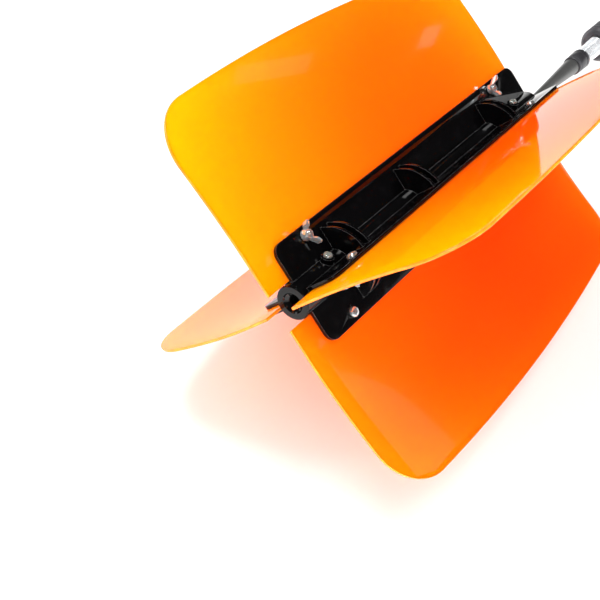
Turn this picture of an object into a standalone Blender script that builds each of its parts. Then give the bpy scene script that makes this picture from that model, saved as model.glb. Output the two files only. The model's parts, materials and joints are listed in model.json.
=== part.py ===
"""Golf swing resistance fan: four plastic blades clamped in a black hub, on a sprung neck with a rubber grip.

The trainer is modelled along its own shaft first: +X runs from the tip of the head to the butt of the
grip, and the four blades stand out at 45 degrees. The whole of it hangs on one empty, which is then
tipped until the two lower blades and the butt of the grip rest on z = 0. All lengths are in metres.
"""

import math

import bmesh
import bpy
import numpy
from mathutils import Matrix, Vector

# Fits between separate pieces
GAP = 0.0003                 # clearance kept between touching pieces
SEGMENTS = 24                # sides of a large turned piece
SMALL_SEGMENTS = 12          # sides of a screw or nut

# Blades
BLADE_COUNT = 4
BLADE_LENGTH = 0.362         # along the shaft
BLADE_THICKNESS = 0.002
BLADE_TIP_REACH = 0.144      # shaft centre to the outer edge, at the tip end
BLADE_BUTT_REACH = 0.1335    # the same at the handle end
BLADE_BULGE = 0.0098         # how far the outer edge bows out between the two
BLADE_TIP_CORNER = 0.039     # corner radii
BLADE_BUTT_CORNER = 0.030
SLOT_CLEARANCE = 0.0004      # side play of a clamp bolt in the blade's slot
UPPER_BEND = 0.0085          # the upper sheets sag this far to their outer side, at BLADE_TIP_REACH
LOWER_BEND = 0.0117          # the ground spreads the lower sheets this far
BEND_POWER = 1.7             # the bend grows from the plates outward with this power
BEND_STRIPS = 7              # flat strips that make up the bend

# Hub brackets: four quarter sections round one shaft
TUBE_RADIUS = 0.0115
TUBE_BORE = 0.0056
TUBE_LEAD = 0.004            # the tube starts this far ahead of the plates
PLATE_INSET = 0.0215         # tip end of the plates, from the blade's tip end
PLATE_OVERHANG = 0.002       # the plates pass the blade's handle end by this much
PLATE_REACH = 0.036
PLATE_THICKNESS = 0.0025
PLATE_CORNER = 0.008
RIB_INSET = 0.0085           # outer edge of a plate to the rim of the ribs
RIB_THICKNESS = 0.002
RIB_PITCH = 0.0075           # between the two ribs of a pair
RIB_TIP_SPACING = 0.0168     # tip bolt to the first pair
RIB_BUTT_SPACING = 0.0202    # last pair to the butt bolt
RIB_MIDDLE_SHARE = 0.425     # the middle pair's place between the first pair and the last

# Clamp bolts and wing nuts (M4)
BOLT_RADIUS = 0.002
BOLT_HEAD_RADIUS = 0.0038
BOLT_HEAD_HEIGHT = 0.0026
BOLT_EDGE = 0.0065           # outer edge of a plate to the bolt
BOLT_TIP_INSET = 0.031       # tip end of a plate to the bolt there
BOLT_BUTT_INSET = 0.0425
BOLT_TAIL = 0.0016           # thread left standing past the nut
HOLE_CLEARANCE = 0.0003
NUT_BASE_RADIUS = 0.0042
NUT_TOP_RADIUS = 0.0033
NUT_HEIGHT = 0.0045
WING_SPAN = 0.0176
WING_RISE = 0.0098           # seat to the top of the wings
WING_THICKNESS = 0.0015
WING_DEPTH = 0.0046
WING_CORNER = 0.0014
NUT_ANGLES = (4, 149, 118, 74, 97, 40, 81, 126)  # how each nut was left standing, in degrees

# Shaft screws, driven radially through bosses on the tube
SHAFT_SCREW_TIP_INSET = 0.0315   # tip end of a plate to the screw there
SHAFT_SCREW_BUTT_INSET = 0.034
SHAFT_SCREW_RADIUS = 0.0015
SHAFT_SCREW_HEAD_RADIUS = 0.0032
SHAFT_SCREW_HEAD_HEIGHT = 0.0022
BOSS_RADIUS = 0.0046
BOSS_HEIGHT = 0.0037         # tube to the seat of the screw head

# Shaft inside the hub
BUSH_FLANGE_THICKNESS = 0.0027
BUSH_WALL = 0.0011
BUSH_DEPTH = 0.010
REAR_BUSH_DEPTH = 0.0195
REAR_FLANGE_RADIUS = 0.0088
REAR_FLANGE_THICKNESS = 0.002

# Neck, spring and handle
NECK_SPIGOT = 0.0029
NECK_COLLAR_RADIUS = 0.0043
NECK_COLLAR_LENGTH = 0.0095
NECK_WAIST = 0.0028
NECK_CONE_LENGTH = 0.083
NECK_SHOULDER = 0.0017       # step from the neck down to the plug in the spring
FERRULE_LENGTH = 0.0215
FERRULE_TIP_WALL = 0.0025
FERRULE_BUTT_WALL = 0.0030
SPRING_LENGTH = 0.0370
SPRING_TURNS = 12
SPRING_WIRE = 0.0010         # wire radius
SPRING_TIP_RADIUS = 0.0068   # centre line of the wire
SPRING_BUTT_RADIUS = 0.0077
SPRING_SEAT = 0.0070         # how far the end plugs reach into the spring
SPRING_TAPER_PLAY = 0.0004   # extra play of the handle's plug, as the coil narrows towards the neck
CUP_LENGTH = 0.031
CUP_RADIUS = 0.0160
CUP_RIBS = 4
CUP_RIB_DEPTH = 0.0011
CUP_LAND = 0.003             # plain length before the first rib and after the last
HANDLE_TUBE_RADIUS = 0.0075
HANDLE_TUBE_WALL = 0.0010
PLUG_HEAD = 0.006            # the plug's head between the spring and the handle tube
PLUG_DEPTH = 0.030           # how far the plug reaches into the handle tube
GRIP_LENGTH = 0.222
GRIP_TIP_RADIUS = 0.0122
GRIP_BUTT_RADIUS = 0.0146
GRIP_HOLLOW = 0.0004         # the grip's sides are this much hollow at its middle
CAP_THICKNESS = 0.0055
CAP_INSET = 0.0004           # grip's rim to the cap's rim
CAP_EDGE = 0.0012

# Places that follow from the sizes above
PLATE_START = PLATE_INSET
PLATE_END = BLADE_LENGTH + PLATE_OVERHANG
TUBE_START = PLATE_START - TUBE_LEAD
BLADE_PLAY = BLADE_THICKNESS / 2 + GAP          # mid plane of a blade to the plate beside it
BLADE_INNER = TUBE_RADIUS + 0.001               # inner edge of the blades
BEND_START = PLATE_REACH + GAP                  # a blade is flat up to here
BOLT_REACH = PLATE_REACH - BOLT_EDGE            # shaft centre to a clamp bolt
BOLT_STATIONS = (PLATE_START + BOLT_TIP_INSET, PLATE_END - BOLT_BUTT_INSET)
SHAFT_SCREW_STATIONS = (PLATE_START + SHAFT_SCREW_TIP_INSET, PLATE_END - SHAFT_SCREW_BUTT_INSET)
BOSS_TOP = TUBE_RADIUS + BOSS_HEIGHT
RIB_RADIUS = PLATE_REACH - RIB_INSET
FIRST_RIBS = BOLT_STATIONS[0] + RIB_TIP_SPACING + RIB_PITCH / 2
LAST_RIBS = BOLT_STATIONS[1] - RIB_BUTT_SPACING - RIB_PITCH / 2
RIB_STATIONS = (FIRST_RIBS, FIRST_RIBS + (LAST_RIBS - FIRST_RIBS) * RIB_MIDDLE_SHARE, LAST_RIBS)
BORE_FIT = TUBE_BORE - GAP                      # radius of what sits in the tube
BUSH_BORE = BORE_FIT - BUSH_WALL
NECK_START = PLATE_END + GAP + REAR_FLANGE_THICKNESS + GAP
CONE_START = NECK_START + NECK_COLLAR_LENGTH
CONE_END = CONE_START + NECK_CONE_LENGTH
SPRING_START = CONE_END + GAP + FERRULE_LENGTH + GAP
SPRING_END = SPRING_START + SPRING_LENGTH
SPRING_PLUG_TIP = SPRING_TIP_RADIUS - SPRING_WIRE - GAP
SPRING_PLUG_BUTT = SPRING_BUTT_RADIUS - SPRING_WIRE - GAP - SPRING_TAPER_PLAY
SPRING_BUTT_OUTSIDE = SPRING_BUTT_RADIUS + SPRING_WIRE
NECK_END_RADIUS = SPRING_PLUG_TIP + NECK_SHOULDER
CUP_START = SPRING_END + GAP
GRIP_START = CUP_START + CUP_LENGTH + GAP
GRIP_END = GRIP_START + GRIP_LENGTH
CAP_END = GRIP_END + GAP + CAP_THICKNESS
ROD_END = PLATE_END - REAR_BUSH_DEPTH - GAP
HANDLE_TUBE_START = CUP_START + PLUG_HEAD
HANDLE_TUBE_END = GRIP_END - 0.002
HANDLE_TUBE_BORE = HANDLE_TUBE_RADIUS - HANDLE_TUBE_WALL
STATION_NAMES = ("tip", "butt")
SIDE_NAMES = ("upper_left", "upper_right", "lower_right", "lower_left")


# ---------------------------------------------------------------- materials and small helpers

def make_material(name, colour, roughness, metallic=0.0):
    """Return a plain Principled material."""
    material = bpy.data.materials.new(name)
    material.use_nodes = True
    shader = material.node_tree.nodes["Principled BSDF"]
    shader.inputs["Base Color"].default_value = (*colour, 1.0)
    shader.inputs["Roughness"].default_value = roughness
    shader.inputs["Metallic"].default_value = metallic
    material.diffuse_color = (*colour, 1.0)
    return material


def mesh_from(bm, name):
    """Turn a bmesh into a mesh with outward faces, smooth where it is round."""
    bmesh.ops.remove_doubles(bm, verts=bm.verts, dist=1e-7)
    bmesh.ops.recalc_face_normals(bm, faces=bm.faces)
    mesh = bpy.data.meshes.new(name)
    bm.to_mesh(mesh)
    bm.free()
    mesh.shade_smooth()
    mesh.set_sharp_from_angle(angle=math.radians(35))
    return mesh


def place(name, mesh, material, parent, matrix=None):
    """Link one named sub-part under its parent."""
    part = bpy.data.objects.new(name, mesh)
    if not mesh.materials:
        mesh.materials.append(material)
    bpy.context.scene.collection.objects.link(part)
    part.parent = parent
    if matrix is not None:
        part.matrix_local = matrix
    return part


def empty(name, parent, matrix=None):
    """Link an empty that marks a joint's axis."""
    marker = bpy.data.objects.new(name, None)
    marker.empty_display_size = 0.01
    bpy.context.scene.collection.objects.link(marker)
    marker.parent = parent
    if matrix is not None:
        marker.matrix_local = matrix
    return marker


def turned(profile, segments=SEGMENTS):
    """Spin a closed (x, r) outline round the X axis. Points with r = 0 lie on the axis."""
    bm = bmesh.new()
    rings = []
    for x, r in profile:
        if r <= 0.0:
            rings.append([bm.verts.new((x, 0.0, 0.0))])
            continue
        ring = []
        for step in range(segments):
            angle = 2 * math.pi * step / segments
            ring.append(bm.verts.new((x, r * math.cos(angle), r * math.sin(angle))))
        rings.append(ring)
    for first, second in zip(rings, rings[1:] + rings[:1]):
        if len(first) == 1 and len(second) == 1:
            continue
        for step in range(segments):
            after = (step + 1) % segments
            corners = [first[step % len(first)], first[after % len(first)],
                       second[after % len(second)], second[step % len(second)]]
            unique = list(dict.fromkeys(corners))
            if len(unique) >= 3:
                bm.faces.new(unique)
    return bm


def prism(outline, low, high):
    """Extrude a closed (x, y) outline from z = low to z = high."""
    bm = bmesh.new()
    face = bm.faces.new([bm.verts.new((x, y, low)) for x, y in outline])
    grown = bmesh.ops.extrude_face_region(bm, geom=[face])
    top = [item for item in grown["geom"] if isinstance(item, bmesh.types.BMVert)]
    bmesh.ops.translate(bm, verts=top, vec=(0.0, 0.0, high - low))
    return bm


def arc(centre, radius, start, end, steps):
    """Points on a circular arc, angles in degrees."""
    points = []
    for step in range(steps + 1):
        angle = math.radians(start + (end - start) * step / steps)
        points.append((centre[0] + radius * math.cos(angle), centre[1] + radius * math.sin(angle)))
    return points


def joined(base, others, operation):
    """Union or difference of bmeshes by exact Booleans; returns a mesh."""
    scene = bpy.context.scene.collection
    body = bpy.data.objects.new("work", mesh_from(base, "work"))
    scene.objects.link(body)
    tools = []
    for index, other in enumerate(others):
        tool = bpy.data.objects.new(f"tool_{index}", mesh_from(other, "tool"))
        scene.objects.link(tool)
        modifier = body.modifiers.new(f"step_{index}", "BOOLEAN")
        modifier.operation = operation
        modifier.solver = "EXACT"
        modifier.object = tool
        tools.append(tool)
    depsgraph = bpy.context.evaluated_depsgraph_get()
    mesh = bpy.data.meshes.new_from_object(body.evaluated_get(depsgraph))
    for leftover in [body, *tools]:
        bpy.data.objects.remove(leftover)
    return mesh


def bmesh_of(mesh):
    """Load a mesh back into a bmesh."""
    bm = bmesh.new()
    bm.from_mesh(mesh)
    return bm


def cylinder(radius, low, high, segments=SMALL_SEGMENTS):
    """A plain round bar along X."""
    return turned([(low, 0.0), (low, radius), (high, radius), (high, 0.0)], segments)


def moved(bm, matrix):
    """Transform a whole bmesh and hand it back."""
    bmesh.ops.transform(bm, matrix=matrix, verts=bm.verts)
    return bm


def sector(index):
    """Turn about the shaft that carries +Y onto blade number index."""
    return Matrix.Rotation(math.radians(45 + 90 * index), 4, "X")


# ---------------------------------------------------------------- blades

def outer_edge(x):
    """Reach of the blade's bowed outer edge at station x."""
    share = x / BLADE_LENGTH
    straight = BLADE_TIP_REACH + (BLADE_BUTT_REACH - BLADE_TIP_REACH) * share
    return straight + BLADE_BULGE * 4 * share * (1 - share)


def rounded_corner(x_edge, side, radius, steps=10):
    """Arc that joins a square end edge to the bowed outer edge; side is +1 at the tip end."""
    centre_x = x_edge + side * radius
    centre = (centre_x, outer_edge(centre_x) - radius)
    start, end = (180, 90) if side > 0 else (90, 0)
    return arc(centre, radius, start, end, steps)


def blade_outline():
    """Closed outline of one blade in the (station, reach) plane, with its two bolt slots."""
    points = rounded_corner(0.0, 1, BLADE_TIP_CORNER)
    first = BLADE_TIP_CORNER
    last = BLADE_LENGTH - BLADE_BUTT_CORNER
    steps = 16
    for step in range(1, steps):
        x = first + (last - first) * step / steps
        points.append((x, outer_edge(x)))
    points += rounded_corner(BLADE_LENGTH, -1, BLADE_BUTT_CORNER)
    points.append((BLADE_LENGTH, BLADE_INNER))
    half = BOLT_RADIUS + SLOT_CLEARANCE
    for station in reversed(BOLT_STATIONS):
        points.append((station + half, BLADE_INNER))
        points += arc((station, BOLT_REACH), half, 0, 180, 8)
        points.append((station - half, BLADE_INNER))
    points.append((0.0, BLADE_INNER))
    return points


def bend_lines():
    """Reaches at which the flat strips of a bent blade meet."""
    end = max(outer_edge(x) for x, _ in blade_outline())
    return [BEND_START + (end - BEND_START) * step / BEND_STRIPS for step in range(BEND_STRIPS + 1)]


def bend_height(reach, bend):
    """How far a blade stands out of its flat plane at this reach; bend is the height at BLADE_TIP_REACH."""
    lines = bend_lines()
    heights = [bend * ((line - BEND_START) / (BLADE_TIP_REACH - BEND_START)) ** BEND_POWER for line in lines]
    return float(numpy.interp(reach, lines, heights))


def bent_blade(bend):
    """One blade in the XY plane, flat between the plates and bent towards +Z beyond them."""
    bm = prism(blade_outline(), -BLADE_THICKNESS / 2, BLADE_THICKNESS / 2)
    for line in bend_lines()[:-1]:
        whole = bm.verts[:] + bm.edges[:] + bm.faces[:]
        bmesh.ops.bisect_plane(bm, geom=whole, dist=1e-7, plane_co=(0.0, line, 0.0), plane_no=(0.0, 1.0, 0.0))
    for vertex in bm.verts:
        vertex.co.z += bend_height(vertex.co.y, bend)
    return mesh_from(bm, "blade")


def build_blades(root, material):
    """Four blades, each with its origin on the shaft so that it slides out along its own +Y.

    The upper pair sags and the lower pair is spread by the ground, so every blade bends away from the
    upright plane through the shaft.
    """
    bends = (-UPPER_BEND, UPPER_BEND, -LOWER_BEND, LOWER_BEND)
    for index, (side, bend) in enumerate(zip(SIDE_NAMES, bends)):
        place(f"blade_{side}", bent_blade(bend), material, root, sector(index))


# ---------------------------------------------------------------- hub brackets

def plate_outline():
    """A plate with two rounded outer corners in the (station, reach) plane."""
    inner = TUBE_BORE + (TUBE_RADIUS - TUBE_BORE) / 2
    reach = PLATE_REACH - PLATE_CORNER
    points = [(PLATE_START, inner)]
    points += arc((PLATE_START + PLATE_CORNER, reach), PLATE_CORNER, 180, 90, 4)
    points += arc((PLATE_END - PLATE_CORNER, reach), PLATE_CORNER, 90, 0, 4)
    points.append((PLATE_END, inner))
    return points


def quarter_ring(inner, outer, low, high, margin, steps):
    """Quarter of a ring between +Y and +Z, kept margin clear of both mid planes."""
    outline = []
    for radius, forward in ((outer, True), (inner, False)):
        edge = math.degrees(math.asin(margin / radius))
        ends = (edge, 90 - edge) if forward else (90 - edge, edge)
        outline += arc((0.0, 0.0), radius, *ends, steps)
    bm = prism(outline, low, high)
    # The outline was drawn in (y, z) and extruded along z, so the axes are cycled round.
    cycle = Matrix(((0, 0, 1, 0), (1, 0, 0, 0), (0, 1, 0, 0), (0, 0, 0, 1)))
    return moved(bm, cycle)


def bracket_plates():
    """The two plates of a bracket, one beside each blade."""
    along_y = prism(plate_outline(), BLADE_PLAY, BLADE_PLAY + PLATE_THICKNESS)
    along_z = prism(plate_outline(), -BLADE_PLAY - PLATE_THICKNESS, -BLADE_PLAY)
    return [along_y, moved(along_z, Matrix.Rotation(math.radians(90), 4, "X"))]


def bracket_ribs():
    """Three pairs of curved ribs between the plates."""
    ribs = []
    inside = TUBE_RADIUS - 0.001
    margin = BLADE_PLAY + PLATE_THICKNESS / 2
    for station in RIB_STATIONS:
        for offset in (-RIB_PITCH / 2, RIB_PITCH / 2):
            low = station + offset - RIB_THICKNESS / 2
            ribs.append(quarter_ring(inside, RIB_RADIUS, low, low + RIB_THICKNESS, margin, 8))
    return ribs


def radial_bar(radius, low, high, station):
    """A round bar that points out from the shaft half way between the plates."""
    bar = cylinder(radius, low, high)
    turn = Matrix.Rotation(math.radians(45), 4, "X") @ Matrix.Rotation(math.radians(90), 4, "Z")
    return moved(bar, Matrix.Translation((station, 0.0, 0.0)) @ turn)


def bracket_holes():
    """Cutters for the clamp bolts and the shaft screws."""
    holes = []
    bolt_hole = BOLT_RADIUS + HOLE_CLEARANCE
    beyond = BLADE_PLAY + PLATE_THICKNESS + 0.001
    for station in BOLT_STATIONS:
        upright = cylinder(bolt_hole, 0.0, beyond)
        turn = Matrix.Rotation(math.radians(-90), 4, "Y")
        holes.append(moved(upright, Matrix.Translation((station, BOLT_REACH, 0.0)) @ turn))
        level = cylinder(bolt_hole, 0.0, beyond)
        turn = Matrix.Rotation(math.radians(90), 4, "Z")
        holes.append(moved(level, Matrix.Translation((station, 0.0, BOLT_REACH)) @ turn))
    for station in SHAFT_SCREW_STATIONS:
        holes.append(radial_bar(SHAFT_SCREW_RADIUS + HOLE_CLEARANCE, 0.002, BOSS_TOP + 0.002, station))
    return holes


def build_brackets(root, material):
    """Four brackets: plates, a quarter of the tube, ribs and screw bosses in one moulding."""
    tube = quarter_ring(TUBE_BORE, TUBE_RADIUS, TUBE_START, PLATE_END, GAP / 2, 5)
    bosses = [radial_bar(BOSS_RADIUS, TUBE_RADIUS - 0.002, BOSS_TOP, station)
              for station in SHAFT_SCREW_STATIONS]
    solid = joined(tube, bracket_plates() + bracket_ribs() + bosses, "UNION")
    mesh = joined(bmesh_of(solid), bracket_holes(), "DIFFERENCE")
    mesh.shade_smooth()
    mesh.set_sharp_from_angle(angle=math.radians(35))
    for index, side in enumerate(("top", "right", "bottom", "left")):
        place(f"hub_bracket_{side}", mesh, material, root, sector(index))


# ---------------------------------------------------------------- screws and nuts

def pan_screw(head_radius, head_height, radius, length):
    """A pan-head screw along +X: the head's underside is at x = 0 and the shank runs to length."""
    dome = [(-head_height, 0.0), (-head_height, head_radius * 0.6), (-head_height * 0.6, head_radius)]
    shank = [(0.0, head_radius), (0.0, radius)]
    shank += [(length, radius), (length, 0.0)]
    return mesh_from(turned(dome + shank, SMALL_SEGMENTS), "pan_screw")


def wing_outline(side):
    """One wing in the (height, span) plane, leaning out from the nut."""
    inner = NUT_TOP_RADIUS * 0.82
    tip = WING_SPAN / 2
    points = [(NUT_HEIGHT * 0.27, inner), (NUT_HEIGHT * 0.5, NUT_BASE_RADIUS + 0.0004),
              (WING_RISE - WING_DEPTH, tip - WING_CORNER * 0.4)]
    points += arc((WING_RISE - WING_CORNER, tip - WING_CORNER), WING_CORNER, 90, -10, 3)
    points += [(WING_RISE - WING_CORNER, tip - 3 * WING_CORNER), (NUT_HEIGHT * 0.9, inner)]
    return [(x, y * side) for x, y in points]


def wing_nut():
    """A wing nut whose seat is at x = 0 and whose thread runs along +X."""
    bore = BOLT_RADIUS + HOLE_CLEARANCE
    profile = [(0.0, bore), (0.0, NUT_BASE_RADIUS), (0.0010, NUT_BASE_RADIUS)]
    profile += [(NUT_HEIGHT, NUT_TOP_RADIUS), (NUT_HEIGHT, bore)]
    hub = turned(profile, SMALL_SEGMENTS)
    wings = [prism(wing_outline(side), -WING_THICKNESS / 2, WING_THICKNESS / 2) for side in (1, -1)]
    mesh = joined(hub, wings, "UNION")
    mesh.shade_smooth()
    mesh.set_sharp_from_angle(angle=math.radians(35))
    return mesh


def build_clamps(root, metal):
    """A bolt and a wing nut at each end of each blade."""
    seat = BLADE_PLAY + PLATE_THICKNESS + GAP
    length = 2 * seat + NUT_HEIGHT + BOLT_TAIL
    bolt = pan_screw(BOLT_HEAD_RADIUS, BOLT_HEAD_HEIGHT, BOLT_RADIUS, length)
    nut = wing_nut()
    up = Matrix.Rotation(math.radians(-90), 4, "Y")
    for index, side in enumerate(SIDE_NAMES):
        for end, station in enumerate(BOLT_STATIONS):
            name = f"{side}_{STATION_NAMES[end]}"
            at_bolt = sector(index) @ Matrix.Translation((station, BOLT_REACH, -seat)) @ up
            place(f"clamp_bolt_{name}", bolt, metal, root, at_bolt)
            turn = Matrix.Rotation(math.radians(NUT_ANGLES[2 * index + end]), 4, "X")
            at_nut = sector(index) @ Matrix.Translation((station, BOLT_REACH, seat)) @ up @ turn
            place(f"wing_nut_{name}", nut, metal, root, at_nut)


def build_shaft_screws(root, metal):
    """Radial screws that pinch the core rod and the neck's spigot inside the hub."""
    reach = BOSS_TOP + GAP
    deep = reach - TUBE_BORE + GAP
    mesh = pan_screw(SHAFT_SCREW_HEAD_RADIUS, SHAFT_SCREW_HEAD_HEIGHT, SHAFT_SCREW_RADIUS, deep)
    inward = Matrix.Rotation(math.radians(45), 4, "X") @ Matrix.Rotation(math.radians(-90), 4, "Z")
    for index, side in enumerate(("top", "right", "bottom", "left")):
        for end, station in enumerate(SHAFT_SCREW_STATIONS):
            out = Matrix.Translation((station, reach * math.sqrt(0.5), reach * math.sqrt(0.5)))
            matrix = sector(index) @ out @ inward
            place(f"shaft_screw_{side}_{STATION_NAMES[end]}", mesh, metal, root, matrix)


# ---------------------------------------------------------------- shaft and neck

def build_hub_shaft(root, black, metal):
    """The pieces inside the hub's tube: tip bush, core rod and rear bush."""
    flange = TUBE_START - GAP
    tip = flange - BUSH_FLANGE_THICKNESS
    bush_end = flange + BUSH_DEPTH
    rim = BLADE_INNER - GAP
    chamfer = 0.0006
    bush = [(tip, BUSH_BORE + chamfer), (tip, rim - chamfer), (tip + chamfer, rim), (flange, rim),
            (flange, BORE_FIT), (bush_end, BORE_FIT), (bush_end, BUSH_BORE), (tip + chamfer, BUSH_BORE)]
    place("tip_bush", mesh_from(turned(bush), "tip_bush"), black, root)

    rod_start = bush_end + GAP
    rod = [(rod_start, 0.0), (rod_start, BORE_FIT - chamfer), (rod_start + chamfer, BORE_FIT),
           (ROD_END, BORE_FIT), (ROD_END, 0.0)]
    place("core_rod", mesh_from(turned(rod, SMALL_SEGMENTS), "core_rod"), metal, root)

    sleeve = NECK_SPIGOT + GAP
    front = ROD_END + GAP
    back = PLATE_END + GAP
    rear = [(front, sleeve), (front, BORE_FIT), (back, BORE_FIT), (back, REAR_FLANGE_RADIUS),
            (back + REAR_FLANGE_THICKNESS, REAR_FLANGE_RADIUS), (back + REAR_FLANGE_THICKNESS, sleeve)]
    place("rear_bush", mesh_from(turned(rear), "rear_bush"), black, root)


def build_neck(root, grey, rubber):
    """The tapered neck, with its spigot in the hub and its plug in the spring, and the ferrule."""
    start = ROD_END + 2 * GAP
    plug_end = SPRING_START + SPRING_SEAT
    edge = 0.0008
    neck = [(start, 0.0), (start, NECK_SPIGOT), (NECK_START, NECK_SPIGOT),
            (NECK_START, NECK_COLLAR_RADIUS - edge), (NECK_START + edge, NECK_COLLAR_RADIUS),
            (CONE_START - 0.0012, NECK_COLLAR_RADIUS), (CONE_START, NECK_WAIST),
            (CONE_END - edge, NECK_END_RADIUS), (CONE_END, NECK_END_RADIUS - edge),
            (CONE_END, SPRING_PLUG_TIP), (plug_end, SPRING_PLUG_TIP), (plug_end, 0.0)]
    place("neck_shaft", mesh_from(turned(neck), "neck_shaft"), grey, root)

    low = CONE_END + GAP
    high = low + FERRULE_LENGTH
    bore = SPRING_PLUG_TIP + GAP
    tip = bore + FERRULE_TIP_WALL
    butt = bore + FERRULE_BUTT_WALL
    ferrule = [(low, bore), (low, tip - edge), (low + edge, tip), (high - edge, butt),
               (high, butt - edge), (high, bore)]
    place("neck_ferrule", mesh_from(turned(ferrule), "neck_ferrule"), rubber, root)


def build_spring(root, metal):
    """The coil, a swept circle on a slightly widening helix, with square-cut ends."""
    bm = bmesh.new()
    sides = 6
    per_turn = 10
    count = SPRING_TURNS * per_turn
    travel = SPRING_LENGTH - 2 * SPRING_WIRE
    rings = []
    for step in range(count + 1):
        share = step / count
        angle = 2 * math.pi * step / per_turn
        radius = SPRING_TIP_RADIUS + (SPRING_BUTT_RADIUS - SPRING_TIP_RADIUS) * share
        centre = Vector((SPRING_START + SPRING_WIRE + travel * share,
                         radius * math.cos(angle), radius * math.sin(angle)))
        outward = Vector((0.0, math.cos(angle), math.sin(angle)))
        ring = []
        for side in range(sides):
            turn = 2 * math.pi * side / sides
            offset = outward * math.cos(turn) + Vector((1.0, 0.0, 0.0)) * math.sin(turn)
            ring.append(bm.verts.new(centre + offset * SPRING_WIRE))
        rings.append(ring)
    for first, second in zip(rings, rings[1:]):
        for side in range(sides):
            after = (side + 1) % sides
            bm.faces.new((first[side], first[after], second[after], second[side]))
    bm.faces.new(rings[0])
    bm.faces.new(list(reversed(rings[-1])))
    place("coil_spring", mesh_from(bm, "coil_spring"), metal, root)


# ---------------------------------------------------------------- handle

def cup_outline():
    """The ribbed cup, open towards the spring, with a bore for the handle tube."""
    mouth = SPRING_BUTT_OUTSIDE + GAP
    bore = HANDLE_TUBE_RADIUS + GAP
    lip = 0.0025
    points = [(CUP_START, mouth), (CUP_START, CUP_RADIUS - lip), (CUP_START + 0.0020, CUP_RADIUS)]
    pitch = (CUP_LENGTH - 2 * CUP_LAND) / CUP_RIBS
    for index in range(CUP_RIBS):
        start = CUP_START + CUP_LAND + pitch * index
        points += [(start + pitch * 0.2, CUP_RADIUS), (start + pitch * 0.5, CUP_RADIUS - CUP_RIB_DEPTH),
                   (start + pitch * 0.8, CUP_RADIUS)]
    end = CUP_START + CUP_LENGTH
    points += [(end - 0.0010, CUP_RADIUS), (end, CUP_RADIUS - 0.0010), (end, bore),
               (HANDLE_TUBE_START, bore), (HANDLE_TUBE_START, mouth)]
    return points


def build_handle(pivot, black, metal, rubber, shift):
    """Everything behind the spring, hung on the empty at the middle of the spring."""
    def put(name, profile, material, segments=SEGMENTS):
        mesh = mesh_from(turned(profile, segments), name)
        place(name, mesh, material, pivot, shift)

    shank = HANDLE_TUBE_BORE - GAP
    head_end = HANDLE_TUBE_START - GAP
    shank_end = HANDLE_TUBE_START + PLUG_DEPTH
    plug_start = CUP_START - SPRING_SEAT
    put("handle_plug",
        [(plug_start, 0.0), (plug_start, SPRING_PLUG_BUTT), (CUP_START, SPRING_PLUG_BUTT),
         (CUP_START, SPRING_BUTT_OUTSIDE), (head_end, SPRING_BUTT_OUTSIDE), (head_end, shank),
         (shank_end, shank), (shank_end, 0.0)],
        metal)
    put("handle_tube",
        [(HANDLE_TUBE_START, HANDLE_TUBE_BORE), (HANDLE_TUBE_START, HANDLE_TUBE_RADIUS),
         (HANDLE_TUBE_END, HANDLE_TUBE_RADIUS), (HANDLE_TUBE_END, HANDLE_TUBE_BORE)],
        metal, SMALL_SEGMENTS)
    put("grip_cup", cup_outline(), black)

    bore = HANDLE_TUBE_RADIUS + GAP
    edge = 0.0008
    waist = (GRIP_TIP_RADIUS + GRIP_BUTT_RADIUS) / 2 - GRIP_HOLLOW
    put("grip",
        [(GRIP_START, bore), (GRIP_START, GRIP_TIP_RADIUS - edge), (GRIP_START + edge, GRIP_TIP_RADIUS),
         ((GRIP_START + GRIP_END) / 2, waist), (GRIP_END - edge, GRIP_BUTT_RADIUS),
         (GRIP_END, GRIP_BUTT_RADIUS - edge), (GRIP_END, bore)],
        rubber)

    seat = HANDLE_TUBE_END + GAP
    cap = GRIP_END + GAP
    rim = GRIP_BUTT_RADIUS - CAP_INSET
    put("grip_cap",
        [(seat, 0.0), (seat, HANDLE_TUBE_RADIUS), (cap, HANDLE_TUBE_RADIUS), (cap, rim),
         (CAP_END - CAP_EDGE, rim), (CAP_END, rim - CAP_EDGE), (CAP_END, 0.0)],
        black)


# ---------------------------------------------------------------- resting pose

def lowest(points, tilt):
    """Lowest world height of shaft-frame (x, z) points once the shaft is tipped by tilt."""
    return min(z * math.cos(tilt) - x * math.sin(tilt) for x, z in points)


def resting_tilt():
    """Angle at which the lower blades and the butt of the grip reach the ground together."""
    corner = BLADE_THICKNESS / 2 * math.sqrt(0.5)
    blade = [(x, (bend_height(r, LOWER_BEND) - r) * math.sqrt(0.5) - corner) for x, r in blade_outline()]
    butt = [(GRIP_END - 0.0008, -GRIP_BUTT_RADIUS), (CAP_END - CAP_EDGE, CAP_INSET - GRIP_BUTT_RADIUS)]
    low, high = 0.0, math.radians(60)
    for _ in range(60):
        middle = (low + high) / 2
        if lowest(blade, middle) < lowest(butt, middle):
            low = middle
        else:
            high = middle
    return (low + high) / 2


def stand_on_origin(root):
    """Move the root so that the middle of the footprint is the origin and nothing is below z = 0."""
    bpy.context.view_layer.update()
    corners = []
    for part in bpy.context.scene.objects:
        if part.type == "MESH":
            corners += [part.matrix_world @ vertex.co for vertex in part.data.vertices]
    lows = [min(corner[axis] for corner in corners) for axis in range(3)]
    highs = [max(corner[axis] for corner in corners) for axis in range(3)]
    root.location = (-(lows[0] + highs[0]) / 2, -(lows[1] + highs[1]) / 2, -lows[2])


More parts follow.
